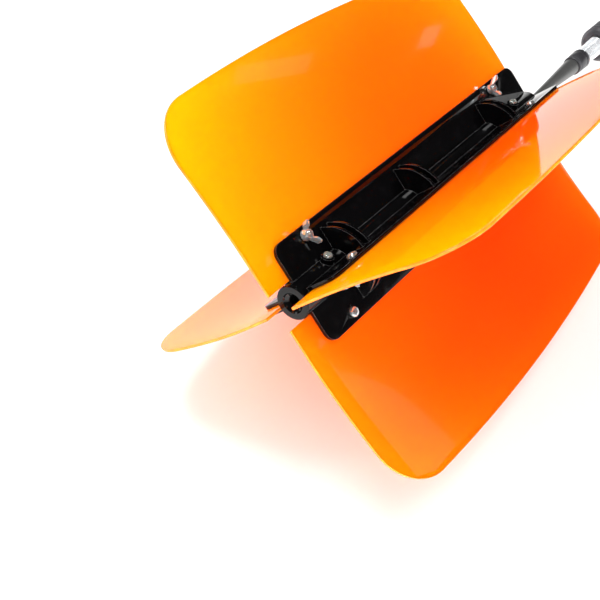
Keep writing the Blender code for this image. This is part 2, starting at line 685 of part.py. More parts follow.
def main():
    """Build the whole trainer."""
    for leftover in list(bpy.data.objects):
        bpy.data.objects.remove(leftover)
    orange = make_material("orange_plastic", (1.0, 0.24, 0.01), 0.12)
    black = make_material("black_plastic", (0.012, 0.011, 0.012), 0.15)
    zinc = make_material("zinc", (0.75, 0.74, 0.71), 0.25, 1.0)
    chrome = make_material("chrome", (0.82, 0.83, 0.84), 0.12, 1.0)
    grey = make_material("grey_shaft", (0.13, 0.13, 0.13), 0.45)
    rubber = make_material("black_rubber", (0.025, 0.024, 0.027), 0.6)

    root = empty("trainer", None, Matrix.Rotation(resting_tilt(), 4, "Y"))
    build_brackets(root, black)
    build_blades(root, orange)
    build_clamps(root, zinc)
    build_shaft_screws(root, zinc)
    build_hub_shaft(root, black, chrome)
    build_neck(root, grey, rubber)
    build_spring(root, chrome)

    middle = (SPRING_START + SPRING_END) / 2
    pivot = empty("neck_flex_pivot", root, Matrix.Translation((middle, 0.0, 0.0)))
    build_handle(pivot, black, chrome, rubber, Matrix.Translation((-middle, 0.0, 0.0)))
    stand_on_origin(root)


if __name__ == "__main__":
    main()
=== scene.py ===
"""Looks of a golf swing resistance fan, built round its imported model.

Every sub-assembly is a class that holds its own sizes, makes its meshes in the shaft's own coordinates
(+X from the tip of the head to the butt of the grip, +Y level, +Z up) and dresses them. The shaft frame then
carries each mesh into the row frame, so every finished object sits at the origin.
"""

import json
import logging
import math
from dataclasses import dataclass
from enum import Enum
from typing import Any, Iterable, Optional, Sequence, Union

import bmesh
import bpy
from mathutils import Matrix, Vector


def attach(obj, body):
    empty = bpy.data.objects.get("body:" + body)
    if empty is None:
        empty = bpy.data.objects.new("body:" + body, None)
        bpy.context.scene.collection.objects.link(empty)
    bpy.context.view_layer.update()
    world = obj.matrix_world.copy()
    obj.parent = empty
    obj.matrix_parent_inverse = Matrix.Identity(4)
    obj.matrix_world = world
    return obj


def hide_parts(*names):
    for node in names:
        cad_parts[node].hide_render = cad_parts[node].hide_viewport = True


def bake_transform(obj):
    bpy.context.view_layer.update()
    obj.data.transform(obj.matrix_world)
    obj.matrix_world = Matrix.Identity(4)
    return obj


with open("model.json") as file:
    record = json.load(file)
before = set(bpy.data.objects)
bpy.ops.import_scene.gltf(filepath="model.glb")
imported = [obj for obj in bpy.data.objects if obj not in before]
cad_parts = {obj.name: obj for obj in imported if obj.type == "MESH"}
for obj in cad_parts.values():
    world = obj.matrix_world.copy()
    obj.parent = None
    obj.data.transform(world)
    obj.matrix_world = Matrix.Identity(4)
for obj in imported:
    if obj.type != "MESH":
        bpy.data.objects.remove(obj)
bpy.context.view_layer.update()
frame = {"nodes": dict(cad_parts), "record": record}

LOG = logging.getLogger("swing_fan")
Colour = tuple[float, float, float]
Point = tuple[float, float]
SIDES = ("upper_left", "upper_right", "lower_right", "lower_left")
QUARTERS = ("top", "right", "bottom", "left")
ENDS = ("tip", "butt")
MM = 0.001

# where the clamp bolts and the shaft screws stand, in shaft coordinates
BOLT_REACH = 0.0295
BOLT_STATIONS = (0.0525, 0.3215)
SCREW_STATIONS = (0.053, 0.330)

# the attribute that keeps each point's place on its flat sheet
SHEET_PLACE = "sheet_place"


# ============================================================ shader maths

class Sock:
    """A shader socket that takes part in arithmetic, adding Math nodes as it goes."""

    def __init__(self, surface: "Surface", socket: bpy.types.NodeSocket) -> None:
        """Keep the socket and the surface whose tree it lives in."""
        self.surface = surface
        self.socket = socket

    def math(self, operation: str, *others: Union["Sock", float]) -> "Sock":
        """Return this socket combined with others by one Math node.

        Args:
            operation: the Math node's operation.
            others: the further operands.

        Returns:
            The node's value.
        """
        values = {0: self, **{index + 1: other for index, other in enumerate(others)}}
        return self.surface.node("ShaderNodeMath", {"operation": operation}, values)

    def __add__(self, other: Union["Sock", float]) -> "Sock":
        """Add."""
        return self.math("ADD", other)

    __radd__ = __add__

    def __mul__(self, other: Union["Sock", float]) -> "Sock":
        """Multiply."""
        return self.math("MULTIPLY", other)

    __rmul__ = __mul__

    def __sub__(self, other: Union["Sock", float]) -> "Sock":
        """Subtract."""
        return self.math("SUBTRACT", other)

    def __rsub__(self, other: float) -> "Sock":
        """Subtract this from a number."""
        return (self * -1.0) + other

    def __pow__(self, other: float) -> "Sock":
        """Raise to a power."""
        return self.math("POWER", other)

    def between(self, low: float, high: float) -> "Sock":
        """Return a smooth 0 to 1 step as this goes from low to high."""
        settings = {"interpolation_type": "SMOOTHSTEP"}
        return self.surface.node("ShaderNodeMapRange", settings, {0: self, 1: low, 2: high, 3: 0.0, 4: 1.0})


class Surface:
    """A material's node tree under construction."""

    def __init__(self, name: str) -> None:
        """Start an empty material.

        Args:
            name: the finish's name.
        """
        self.material = bpy.data.materials.new(self.full_name(name))
        self.material.use_nodes = True
        self.tree = self.material.node_tree
        self.tree.nodes.clear()

    @staticmethod
    def full_name(name: str) -> str:
        """Return a finish's material name, which no material of the frame has."""
        return f"finish_{name}"

    def raw(self, kind: str, settings: dict[str, Any], values: dict[Any, Any]) -> bpy.types.Node:
        """Add one node, with its settings first and then its sockets.

        Args:
            kind: the node's type.
            settings: attributes of the node.
            values: sockets by name or index, each a number, a tuple or a Sock.

        Returns:
            The node.
        """
        node = self.tree.nodes.new(kind)
        for key, value in settings.items():
            setattr(node, key, value)
        for key, value in values.items():
            socket = node.inputs[key]
            if isinstance(value, Sock):
                self.tree.links.new(value.socket, socket)
            else:
                socket.default_value = value
        return node

    def node(self, kind: str, settings: dict[str, Any], values: dict[Any, Any],
             output: Union[int, str] = 0) -> Sock:
        """Add one node and return one of its outputs."""
        return Sock(self, self.raw(kind, settings, values).outputs[output])

    def place(self) -> Sock:
        """Return the piece's own Object coordinates."""
        return self.node("ShaderNodeTexCoord", {}, {}, "Object")

    def noise(self, scale: float, detail: float = 3.0, stretch: Vector = Vector((1, 1, 1))) -> Sock:
        """Return smooth noise over Object coordinates, stretched if asked."""
        mapped = self.node("ShaderNodeMapping", {}, {"Vector": self.place(), "Scale": tuple(stretch)})
        return self.node("ShaderNodeTexNoise", {}, {"Vector": mapped, "Scale": scale, "Detail": detail})

    def mix(self, share: Union[Sock, float], first: Any, second: Any) -> Sock:
        """Return a mix of two colours."""
        node = self.raw("ShaderNodeMix", {"data_type": "RGBA"}, {0: share})
        for index, value in ((6, first), (7, second)):
            if isinstance(value, Sock):
                self.tree.links.new(value.socket, node.inputs[index])
            else:
                node.inputs[index].default_value = (*value, 1.0)
        return Sock(self, node.outputs[2])

    def bump(self, height: Sock, distance: float, strength: float = 1.0) -> Sock:
        """Return a normal from a height field; distance is the height of 1, in metres."""
        return self.node("ShaderNodeBump", {}, {"Height": height, "Distance": distance, "Strength": strength})

    def principled(self, **values: Any) -> Sock:
        """Return a Principled shader; keyword names are socket names with underscores."""
        named = {key.replace("_", " "): value for key, value in values.items()}
        for key, value in named.items():
            if isinstance(value, tuple) and len(value) == 3:
                named[key] = (*value, 1.0)
        return self.node("ShaderNodeBsdfPrincipled", {}, named)

    def done(self, shader: Sock) -> bpy.types.Material:
        """Connect the shader to the output and return the material."""
        self.raw("ShaderNodeOutputMaterial", {}, {"Surface": shader})
        return self.material


# ============================================================ finishes

@dataclass(frozen=True)
class BladeSheet:
    """Glossy orange sheet that lets light through; the light it lets through is painted yellower towards its
    tip end, butt end and rim, a painted backlight glow.
    """

    name: str = "blade_sheet"
    body: Colour = (1.0, 0.052, 0.0)
    thin: Colour = (1.0, 0.080, 0.0)
    deep_glow: Colour = (1.0, 0.30, 0.0)
    # colour of the painted yellow backlight glow
    painted_yellow_glow: Colour = (1.0, 0.95, 0.01)
    light_share: float = 0.46
    # how strongly the painted yellow backlight glow shows at the tip end, the rim and the butt end
    tip_painted_glow: float = 0.80
    tip_power: float = 1.7
    rim_painted_glow: float = 0.22
    butt_painted_glow: float = 0.65
    roughness: float = 0.075

    def painted_glow_share(self, surface: Surface) -> Sock:
        """Return the share of the painted yellow backlight glow, from the stations kept on its points."""
        spot = surface.node("ShaderNodeAttribute", {"attribute_name": SHEET_PLACE}, {}, "Vector")
        parts = surface.raw("ShaderNodeSeparateXYZ", {}, {"Vector": spot})
        along, reach = Sock(surface, parts.outputs["X"]), Sock(surface, parts.outputs["Y"])
        cloud = surface.noise(5.0, 2.0, Vector((0.6, 1.0, 1.0))) * 0.24 - 0.12
        # painted backlight glow: yellower towards the tip end, the butt end and the outer rim
        tip = ((1.0 - along) ** self.tip_power) * self.tip_painted_glow
        butt = (along ** 5.0) * self.butt_painted_glow
        return tip + butt + (reach ** 5.0) * self.rim_painted_glow + cloud

    def build(self) -> bpy.types.Material:
        """Return the material: moulded sheet with faint flow marks, a slightly wavy gloss and a painted
        yellow glow in the light it lets through.
        """
        surface = Surface(self.name)
        flow = surface.noise(7.0, 2.0, Vector((0.5, 1.0, 1.0)))
        fine = surface.noise(900.0, 2.0)
        wave = surface.noise(11.0, 1.0)
        colour = surface.mix(flow.between(0.3, 0.72), self.body, self.thin)
        normal = surface.bump(wave + fine * 0.01, 0.00012)
        smudge = surface.noise(34.0, 4.0).between(0.45, 0.8)
        gloss = surface.principled(Base_Color=colour, Roughness=smudge * 0.05 + self.roughness, Normal=normal,
                                   IOR=1.5, Coat_Weight=1.0, Coat_Roughness=0.02)
        deep = surface.node("ShaderNodeBsdfTranslucent", {}, {"Color": (*self.deep_glow, 1.0)})
        clear = surface.node("ShaderNodeBsdfTranslucent", {}, {"Color": (*self.painted_yellow_glow, 1.0)})
        # the translucent colour is mixed by place on the sheet, a painted yellow backlight glow
        share = self.painted_glow_share(surface).math("MAXIMUM", 0.0).math("MINIMUM", 1.0)
        glow = surface.node("ShaderNodeMixShader", {}, {0: share, 1: deep, 2: clear})
        mixed = surface.node("ShaderNodeMixShader", {}, {0: self.light_share, 1: gloss, 2: glow})
        return surface.done(mixed)


@dataclass(frozen=True)
class BladeRim:
    """The sheet's cut edge, given a painted glow that stands in for the light coming out of it."""

    name: str = "blade_rim"
    body: Colour = (1.0, 0.17, 0.004)
    # colour and strength of the painted edge glow
    glow: Colour = (1.0, 0.26, 0.008)
    strength: float = 0.14

    def build(self) -> bpy.types.Material:
        """Return the material."""
        surface = Surface(self.name)
        streak = surface.noise(160.0, 2.0).between(0.25, 0.8)
        colour = surface.mix(streak, self.body, (1.0, 0.27, 0.01))
        # painted glow: the rim emits light, though it is no lamp
        shader = surface.principled(Base_Color=colour, Roughness=0.22, Emission_Color=self.glow,
                                    Emission_Strength=self.strength, Coat_Weight=0.4, Coat_Roughness=0.08)
        return surface.done(shader)


@dataclass(frozen=True)
class MouldedPlastic:
    """Glossy black moulded plastic."""

    name: str
    body: Colour = (0.0016, 0.0015, 0.0017)
    roughness: float = 0.06
    grain: float = 0.000006

    def build(self) -> bpy.types.Material:
        """Return the material: polished, with a faint orange peel and a little dust in the gloss."""
        surface = Surface(self.name)
        peel = surface.noise(420.0, 2.0)
        sink = surface.noise(38.0, 1.0)
        normal = surface.bump(peel * 0.4 + sink * 2.2, self.grain)
        dust = surface.noise(140.0, 4.0).between(0.52, 0.78)
        colour = surface.mix(dust, self.body, tuple(c * 2.4 for c in self.body))
        shader = surface.principled(Base_Color=colour, Roughness=dust * 0.10 + self.roughness, Normal=normal,
                                    IOR=1.5, Specular_IOR_Level=0.35)
        return surface.done(shader)


@dataclass(frozen=True)
class PlatedSteel:
    """Plated or bare steel, with rolling or drawing marks."""

    name: str
    body: Colour = (0.80, 0.79, 0.76)
    shade: Colour = (0.52, 0.50, 0.47)
    roughness: float = 0.16
    marks: float = 0.10
    metallic: float = 1.0

    def build(self) -> bpy.types.Material:
        """Return the material."""
        surface = Surface(self.name)
        cloud = surface.noise(260.0, 4.0).between(0.35, 0.75)
        drawn = surface.noise(1500.0, 2.0, Vector((0.06, 1.0, 1.0)))
        colour = surface.mix(cloud * 0.55, self.body, self.shade)
        normal = surface.bump(drawn, 0.000006)
        shader = surface.principled(Base_Color=colour, Metallic=self.metallic, Normal=normal,
                                    Roughness=cloud * self.marks + self.roughness)
        return surface.done(shader)


@dataclass(frozen=True)
class SatinPaint:
    """Satin paint on the tapered neck."""

    name: str = "neck_paint"
    body: Colour = (0.040, 0.040, 0.039)
    light: Colour = (0.085, 0.085, 0.083)

    def build(self) -> bpy.types.Material:
        """Return the material: fine speckle over a soft sheen."""
        surface = Surface(self.name)
        speckle = surface.noise(2600.0, 2.0).between(0.42, 0.66)
        cloud = surface.noise(45.0, 2.0).between(0.3, 0.75)
        colour = surface.mix(speckle * 0.45 + cloud * 0.35, self.body, self.light)
        normal = surface.bump(speckle, 0.000012)
        shader = surface.principled(Base_Color=colour, Roughness=cloud * 0.12 + 0.34, Normal=normal,
                                    Coat_Weight=0.25, Coat_Roughness=0.25)
        return surface.done(shader)


@dataclass(frozen=True)
class Rubber:
    """Matt or satin black rubber."""

    name: str
    body: Colour = (0.018, 0.018, 0.020)
    worn: Colour = (0.045, 0.045, 0.048)
    roughness: float = 0.48
    pore: float = 0.00003

    def build(self) -> bpy.types.Material:
        """Return the material: pores, and paler where it is rubbed."""
        surface = Surface(self.name)
        pores = surface.noise(1900.0, 3.0)
        rubbed = surface.noise(70.0, 4.0).between(0.45, 0.78)
        colour = surface.mix(rubbed, self.body, self.worn)
        normal = surface.bump(pores, self.pore)
        shader = surface.principled(Base_Color=colour, Normal=normal,
                                    Roughness=rubbed * 0.16 + self.roughness)
        return surface.done(shader)


@dataclass(frozen=True)
class StudioFloor:
    """Plain pale sweep of the floor."""

    name: str = "studio_floor"
    tone: Colour = (0.90, 0.90, 0.895)

    def build(self) -> bpy.types.Material:
        """Return the material."""
        surface = Surface(self.name)
        grain = surface.noise(30.0, 4.0)
        colour = surface.mix(grain, self.tone, tuple(c * 0.985 for c in self.tone))
        shader = surface.principled(Base_Color=colour, Roughness=0.55, Specular_IOR_Level=0.25)
        return surface.done(shader)


class Finish(Enum):
    """Every finish on the trainer."""

    BLADE = BladeSheet()
    # blade rims with a painted edge glow
    PAINTED_GLOW_RIM = BladeRim()
    HUB = MouldedPlastic("hub_plastic")
    # pale grey for the rounded edges of the black hub: painted highlight outlines
    HUB_EDGE_PAINTED_HIGHLIGHT = MouldedPlastic("hub_edge_painted_highlight", (0.20, 0.20, 0.20), 0.24)
    BUSH = MouldedPlastic("bush_plastic", (0.0018, 0.0018, 0.0018), 0.055, 0.000006)
    CAP = MouldedPlastic("cap_plastic", (0.014, 0.014, 0.015), 0.34, 0.00003)
    BOLT = PlatedSteel("bolt_zinc", (0.74, 0.80, 0.80), (0.48, 0.50, 0.50), metallic=0.85)
    NUT = PlatedSteel("nut_zinc", (0.80, 0.88, 0.90), (0.56, 0.61, 0.62), 0.11, 0.08, 0.74)
    SCREW = PlatedSteel("screw_zinc", (0.72, 0.77, 0.73), (0.46, 0.48, 0.42), 0.17, 0.10, 0.76)
    ROD = PlatedSteel("rod_steel", (0.55, 0.55, 0.55), (0.36, 0.36, 0.36), 0.28, 0.15)
    TUBE = PlatedSteel("tube_steel", (0.60, 0.60, 0.60), (0.40, 0.40, 0.40), 0.24, 0.15)
    CHROME = PlatedSteel("spring_chrome", (0.90, 0.92, 0.94), (0.74, 0.77, 0.80), 0.07, 0.05, 0.50)
    NECK = SatinPaint()
    FERRULE = Rubber("ferrule_rubber", (0.022, 0.021, 0.024), (0.05, 0.05, 0.055), 0.34)
    CUP = Rubber("cup_rubber", (0.030, 0.029, 0.034), (0.075, 0.073, 0.082), 0.40)
    GRIP = Rubber("grip_rubber")
    FLOOR = StudioFloor()

    def material(self) -> bpy.types.Material:
        """Return the built material, made once."""
        made = bpy.data.materials.get(Surface.full_name(self.value.name))
        return made or self.value.build()


# ============================================================ shaft frame and mesh helpers

@dataclass(frozen=True)
class ShaftFrame:
    """The trainer's own coordinates: x along the shaft from the blades' tip end, y level, z up."""

    matrix: Matrix
    inverse: Matrix

    @classmethod
    def from_record(cls) -> "ShaftFrame":
        """Return the frame from the grip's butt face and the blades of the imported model."""
        butt = next(m for m in frame["record"]["mounts"] if m["name"] == "grip_butt_face")
        axis = Vector(butt["axis"]).normalized()
        level = Vector((0.0, 1.0, 0.0))
        rotation = Matrix((axis, level, axis.cross(level))).transposed().to_4x4()
        rough = Matrix.Translation(Vector(butt["pos_m"])) @ rotation
        blades = [f"blade_{side}" for side in SIDES]
        start = min(station for node in blades for station in cls.stations_of(rough.inverted(), node))
        matrix = rough @ Matrix.Translation((start, 0.0, 0.0))
        return cls(matrix, matrix.inverted())

    @staticmethod
    def stations_of(inverse: Matrix, node: str) -> list[float]:
        """Return the stations of a CAD node's corners in the frame with that inverse."""
        return [(inverse @ vertex.co).x for vertex in frame["nodes"][node].data.vertices]

    def span(self, node: str) -> Point:
        """Return the first and last station of a CAD node."""
        stations = self.stations_of(self.inverse, node)
        return min(stations), max(stations)

    def reach(self, node: str) -> float:
        """Return a CAD node's greatest distance from the shaft's axis."""
        corners = (self.inverse @ vertex.co for vertex in frame["nodes"][node].data.vertices)
        return max(math.hypot(corner.y, corner.z) for corner in corners)


def about(axis: str, degrees: float) -> Matrix:
    """Return a turn about one of the axes."""
    return Matrix.Rotation(math.radians(degrees), 4, axis)


def sector(index: int) -> Matrix:
    """Return the turn about the shaft that carries +Y onto blade number index."""
    return about("X", 45 + 90 * index)


def arc(centre: Point, radius: float, start: float, end: float, steps: int) -> list[Point]:
    """Return points on an arc; angles are in degrees."""
    turns = (math.radians(start + (end - start) * step / steps) for step in range(steps + 1))
    return [(centre[0] + radius * math.cos(turn), centre[1] + radius * math.sin(turn)) for turn in turns]


def eased(profile: Sequence[Point], radius: float, steps: int = 3) -> list[Point]:
    """Return a profile whose corners are rounded, each by radius or by what its sides allow.

    Args:
        profile: open list of (x, r) corners; the first and last stay sharp.
        radius: the wanted corner radius.
        steps: points on each rounded corner.

    Returns:
        The new profile.
    """
    points = [profile[0]]
    for before, corner, after in zip(profile, profile[1:], profile[2:]):
        here = Vector(corner)
        back = Vector(before) - here
        ahead = Vector(after) - here
        if back.length < 1e-7 or ahead.length < 1e-7:
            points.append(corner)
            continue
        turn = back.angle(ahead)
        if turn > math.radians(172):
            points.append(corner)
            continue
        cut = min(radius / math.tan(turn / 2), back.length * 0.45, ahead.length * 0.45)
        first = here + back.normalized() * cut
        last = here + ahead.normalized() * cut
        for step in range(steps + 1):
            share = step / steps
            bent = first * (1 - share) ** 2 + here * 2 * share * (1 - share) + last * share ** 2
            points.append((bent.x, bent.y))
    points.append(profile[-1])
    return points


def turned(profile: Sequence[Point], segments: int = 64) -> bmesh.types.BMesh:
    """Return a closed (x, r) outline spun round the X axis; points with r = 0 lie on the axis."""
    bm = bmesh.new()
    rings = []
    for x, r in profile:
        if r <= 0.0:
            rings.append([bm.verts.new((x, 0.0, 0.0))])
            continue
        turns = (2 * math.pi * step / segments for step in range(segments))
        rings.append([bm.verts.new((x, r * math.cos(turn), r * math.sin(turn))) for turn in turns])
    for first, second in zip(rings, rings[1:] + rings[:1]):
        if len(first) == 1 and len(second) == 1:
            continue
        for step in range(segments):
            after = (step + 1) % segments
            corners = [first[step % len(first)], first[after % len(first)],
                       second[after % len(second)], second[step % len(second)]]
            unique = list(dict.fromkeys(corners))
            if len(unique) >= 3:
                bm.faces.new(unique)
    return bm


def prism(outline: Sequence[Point], low: float, high: float) -> bmesh.types.BMesh:
    """Return a closed (x, y) outline extruded from z = low to z = high."""
    bm = bmesh.new()
    face = bm.faces.new([bm.verts.new((x, y, low)) for x, y in outline])
    grown = bmesh.ops.extrude_face_region(bm, geom=[face])
    top = [item for item in grown["geom"] if isinstance(item, bmesh.types.BMVert)]
    bmesh.ops.translate(bm, verts=top, vec=(0.0, 0.0, high - low))
    return bm


def moved(bm: bmesh.types.BMesh, matrix: Matrix) -> bmesh.types.BMesh:
    """Transform a whole bmesh and hand it back."""
    bmesh.ops.transform(bm, matrix=matrix, verts=bm.verts)
    return bm


def smoothed(mesh: bpy.types.Mesh, sharp: float) -> bpy.types.Mesh:
    """Shade a mesh smooth but for edges sharper than the angle given in degrees, and hand it back."""
    mesh.shade_smooth()
    mesh.set_sharp_from_angle(angle=math.radians(sharp))
    return mesh


def to_mesh(bm: bmesh.types.BMesh, name: str, sharp: float = 32.0) -> bpy.types.Mesh:
    """Return a mesh with outward faces, smooth but for edges sharper than the angle given in degrees."""
    bmesh.ops.remove_doubles(bm, verts=bm.verts, dist=1e-7)
    bmesh.ops.recalc_face_normals(bm, faces=bm.faces)
    mesh = bpy.data.meshes.new(name)
    bm.to_mesh(mesh)
    bm.free()
    return smoothed(mesh, sharp)


def bmesh_of(mesh: bpy.types.Mesh) -> bmesh.types.BMesh:
    """Load a mesh into a bmesh."""
    bm = bmesh.new()
    bm.from_mesh(mesh)
    return bm


def evaluated(body: bpy.types.Object) -> bpy.types.Mesh:
    """Return what an object's modifiers make of it as a plain mesh, and remove the object."""
    graph = bpy.context.evaluated_depsgraph_get()
    mesh = bpy.data.meshes.new_from_object(body.evaluated_get(graph))
    bpy.data.objects.remove(body)
    return mesh


def linked(name: str, data: Any) -> bpy.types.Object:
    """Return a new object of a mesh, light or camera, linked to the scene."""
    item = bpy.data.objects.new(name, data)
    bpy.context.scene.collection.objects.link(item)
    return item


def work_object(mesh: bpy.types.Mesh) -> bpy.types.Object:
    """Link a passing object that carries modifiers."""
    return linked("work", mesh)


def cut_or_joined(base: bmesh.types.BMesh, others: Iterable[bmesh.types.BMesh],
                  operation: str) -> bpy.types.Mesh:
    """Return the exact union or difference of shapes as a mesh."""
    body = work_object(to_mesh(base, "work"))
    tools = []
    for index, other in enumerate(others):
        tool = work_object(to_mesh(other, "tool"))
        modifier = body.modifiers.new(f"step_{index}", "BOOLEAN")
        modifier.operation = operation
        modifier.solver = "EXACT"
        modifier.object = tool
        tools.append(tool)
    mesh = evaluated(body)
    for tool in tools:
        bpy.data.objects.remove(tool)
    return mesh


def softened(mesh: bpy.types.Mesh, width: float, angle: float = 30.0, segments: int = 2,
             edge_material: int = -1) -> bpy.types.Mesh:
    """Return a mesh with its sharp edges rounded over.

    Args:
        mesh: the sharp mesh.
        width: the bevel's width in metres.
        angle: edges sharper than this, in degrees, are rounded.
        segments: facets across each rounded edge.
        edge_material: the material index of the rounded edges, or -1 for that of their sides.

    Returns:
        The rounded mesh.
    """
    bm = bmesh_of(mesh)
    bmesh.ops.remove_doubles(bm, verts=bm.verts, dist=2e-6)
    bmesh.ops.dissolve_limit(bm, angle_limit=math.radians(0.6), verts=bm.verts, edges=bm.edges)
    bm.to_mesh(mesh)
    bm.free()
    body = work_object(mesh)
    modifier = body.modifiers.new("round", "BEVEL")
    modifier.width = width
    modifier.segments = segments
    modifier.limit_method = "ANGLE"
    modifier.angle_limit = math.radians(angle)
    modifier.miter_outer = "MITER_ARC"
    modifier.material = edge_material
    return smoothed(evaluated(body), angle + 12)


# ============================================================ geometry nodes

class GeoTree:
    """A Geometry Nodes tree built in code, with named inputs, that ends as a plain mesh."""

    def __init__(self, name: str) -> None:
        """Start a tree with a geometry input and output."""
        self.tree = bpy.data.node_groups.new(name, "GeometryNodeTree")
        self.tree.interface.new_socket("Geometry", in_out="INPUT", socket_type="NodeSocketGeometry")
        self.tree.interface.new_socket("Geometry", in_out="OUTPUT", socket_type="NodeSocketGeometry")
        self.names: dict[str, str] = {}
        self.given: dict[str, Any] = {}
        self.group_in = self.tree.nodes.new("NodeGroupInput")

    def size(self, name: str, value: Any, kind: str = "NodeSocketFloat") -> bpy.types.NodeSocket:
        """Add a named input with its value.

        Args:
            name: the input's name.
            value: what the modifier sets it to.
            kind: the socket type.

        Returns:
            The group input's socket.
        """
        item = self.tree.interface.new_socket(name, in_out="INPUT", socket_type=kind)
        self.names[name] = item.identifier
        self.given[name] = value
        return next(s for s in self.group_in.outputs if s.identifier == item.identifier)

    def node(self, kind: str, settings: Optional[dict[str, Any]] = None,
             values: Optional[dict[Any, Any]] = None, output: Union[int, str] = 0) -> bpy.types.NodeSocket:
        """Add one node, set it, feed it and return one of its outputs."""
        node = self.tree.nodes.new(kind)
        for key, value in (settings or {}).items():
            setattr(node, key, value)
        for key, value in (values or {}).items():
            socket = node.inputs[key]
            for part in value if isinstance(value, list) else [value]:
                if isinstance(part, bpy.types.NodeSocket):
                    self.tree.links.new(part, socket)
                else:
                    socket.default_value = part
        return node.outputs[output]

    @property
    def geometry(self) -> bpy.types.NodeSocket:
        """The incoming geometry."""
        return self.group_in.outputs[0]

    def bake(self, base: bpy.types.Mesh, result: bpy.types.NodeSocket,
             material: bpy.types.Material) -> bpy.types.Mesh:
        """Realize, set the material, evaluate and return a plain mesh.

        Args:
            base: the mesh that the tree starts from.
            result: the tree's last geometry socket.
            material: what the surface is made of.

        Returns:
            The evaluated mesh.
        """
        whole = self.node("GeometryNodeRealizeInstances", None, {"Geometry": result})
        dressed = self.node("GeometryNodeSetMaterial", None, {"Geometry": whole, "Material": material})
        end = self.tree.nodes.new("NodeGroupOutput")
        self.tree.links.new(dressed, end.inputs[0])
        body = work_object(base)
        modifier = body.modifiers.new("grow", "NODES")
        modifier.node_group = self.tree
        for name, identifier in self.names.items():
            modifier[identifier] = self.given[name]
        mesh = evaluated(body)
        if not mesh.materials:
            mesh.materials.append(material)
        return mesh


def points_mesh(points: Iterable[Vector], outward: Iterable[Vector],
                along: Iterable[Vector]) -> bpy.types.Mesh:
    """Return loose points, each with the two directions that its copy is turned to."""
    mesh = bpy.data.meshes.new("points")
    mesh.from_pydata([tuple(point) for point in points], [], [])
    for name, directions in (("outward", outward), ("along", along)):
        layer = mesh.attributes.new(name, "FLOAT_VECTOR", "POINT")
        for item, direction in zip(layer.data, directions):
            item.vector = direction
    return mesh


def copies_on_points(name: str, points: bpy.types.Mesh, pattern: bpy.types.Mesh,
                     material: bpy.types.Material) -> bpy.types.Mesh:
    """Return copies of a pattern piece on points, its X turned outward and its Y along.

    Args:
        name: the tree's name.
        points: loose points with outward and along directions.
        pattern: the piece to repeat, made round its own origin.
        material: what the copies are made of.

    Returns:
        One plain mesh.
    """
    tree = GeoTree(name)
    source = work_object(pattern)
    copied = tree.size("Piece", source, "NodeSocketObject")
    shape = tree.node("GeometryNodeObjectInfo", None, {"Object": copied}, "Geometry")
    outward = tree.node("GeometryNodeInputNamedAttribute", {"data_type": "FLOAT_VECTOR"}, {"Name": "outward"})
    along = tree.node("GeometryNodeInputNamedAttribute", {"data_type": "FLOAT_VECTOR"}, {"Name": "along"})
    turn = tree.node("FunctionNodeAxesToRotation", {"primary_axis": "X", "secondary_axis": "Y"},
                     {0: outward, 1: along})
    spots = tree.node("GeometryNodeMeshToPoints", None, {"Mesh": tree.geometry})
    placed = tree.node("GeometryNodeInstanceOnPoints", None,
                       {"Points": spots, "Instance": shape, "Rotation": turn})
    mesh = tree.bake(points, placed, material)
    bpy.data.objects.remove(source)
    return mesh


def helix_mesh(name: str, start: float, length: float, turns: float, radii: Point, wire: float,
               material: bpy.types.Material, per_turn: int = 48, sides: int = 14) -> bpy.types.Mesh:
    """Return a wire wound round the X axis, made by a Geometry Nodes tree.

    Args:
        name: the tree's name.
        start: station where the wire starts.
        length: how far it travels along X.
        turns: number of turns.
        radii: radius of the wire's centre line at the start and at the end.
        wire: the wire's radius.
        material: what it is made of.
        per_turn: points on one turn.
        sides: sides of the wire.

    Returns:
        A plain mesh.
    """
    tree = GeoTree(name)
    coil = tree.node("GeometryNodeCurveSpiral", None, {
        "Resolution": per_turn, "Rotations": tree.size("Turns", turns),
        "Start Radius": tree.size("Start radius", radii[0]), "End Radius": tree.size("End radius", radii[1]),
        "Height": tree.size("Length", length)})
    section = tree.node("GeometryNodeCurvePrimitiveCircle", None,
                        {"Resolution": sides, "Radius": tree.size("Wire radius", wire)})
    wound = tree.node("GeometryNodeCurveToMesh", None, {"Curve": coil, "Profile Curve": section,
                                                        "Fill Caps": True})
    laid = tree.node("GeometryNodeTransform", None, {
        "Geometry": wound, "Rotation": (0.0, math.radians(90), 0.0), "Translation": (start, 0.0, 0.0)})
    smooth = tree.node("GeometryNodeSetShadeSmooth", None, {"Geometry": laid})
    return tree.bake(bpy.data.meshes.new("empty"), smooth, material)


# ============================================================ placing pieces

@dataclass
class Workshop:
    """Places finished meshes in the row frame and reports them."""

    shaft: ShaftFrame

    def place(self, name: str, mesh: bpy.types.Mesh, finish: Union[Finish, Sequence[Finish]], body: str,
              nodes: Sequence[str] = (), slot: str = "") -> None:
        """Carry a mesh into the row frame, dress it and hang it on its body.

        Args:
            name: the piece's name.
            mesh: its mesh, in shaft coordinates.
            finish: its finish, or one for each material index.
            body: the CAD body it rides on.
            nodes: CAD nodes it stands for.
            slot: the record's material slot; not used.
        """
        mesh.transform(self.shaft.matrix)
        for index, one in enumerate(finish if isinstance(finish, (list, tuple)) else [finish]):
            if index < len(mesh.materials):
                mesh.materials[index] = one.material()
            else:
                mesh.materials.append(one.material())
        piece = linked(name, mesh)
        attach(piece, body)
        if nodes:
            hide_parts(*nodes)
        LOG.info("%s on %s, %d faces", name, body, len(mesh.polygons))

    def dress_node(self, node: str, finish: Finish) -> None:
        """Give a carried-over CAD node its finish."""
        mesh = frame["nodes"][node].data
        mesh.materials.clear()
        mesh.materials.append(finish.material())
        LOG.info("%s keeps its CAD shape", node)


# ============================================================ blades

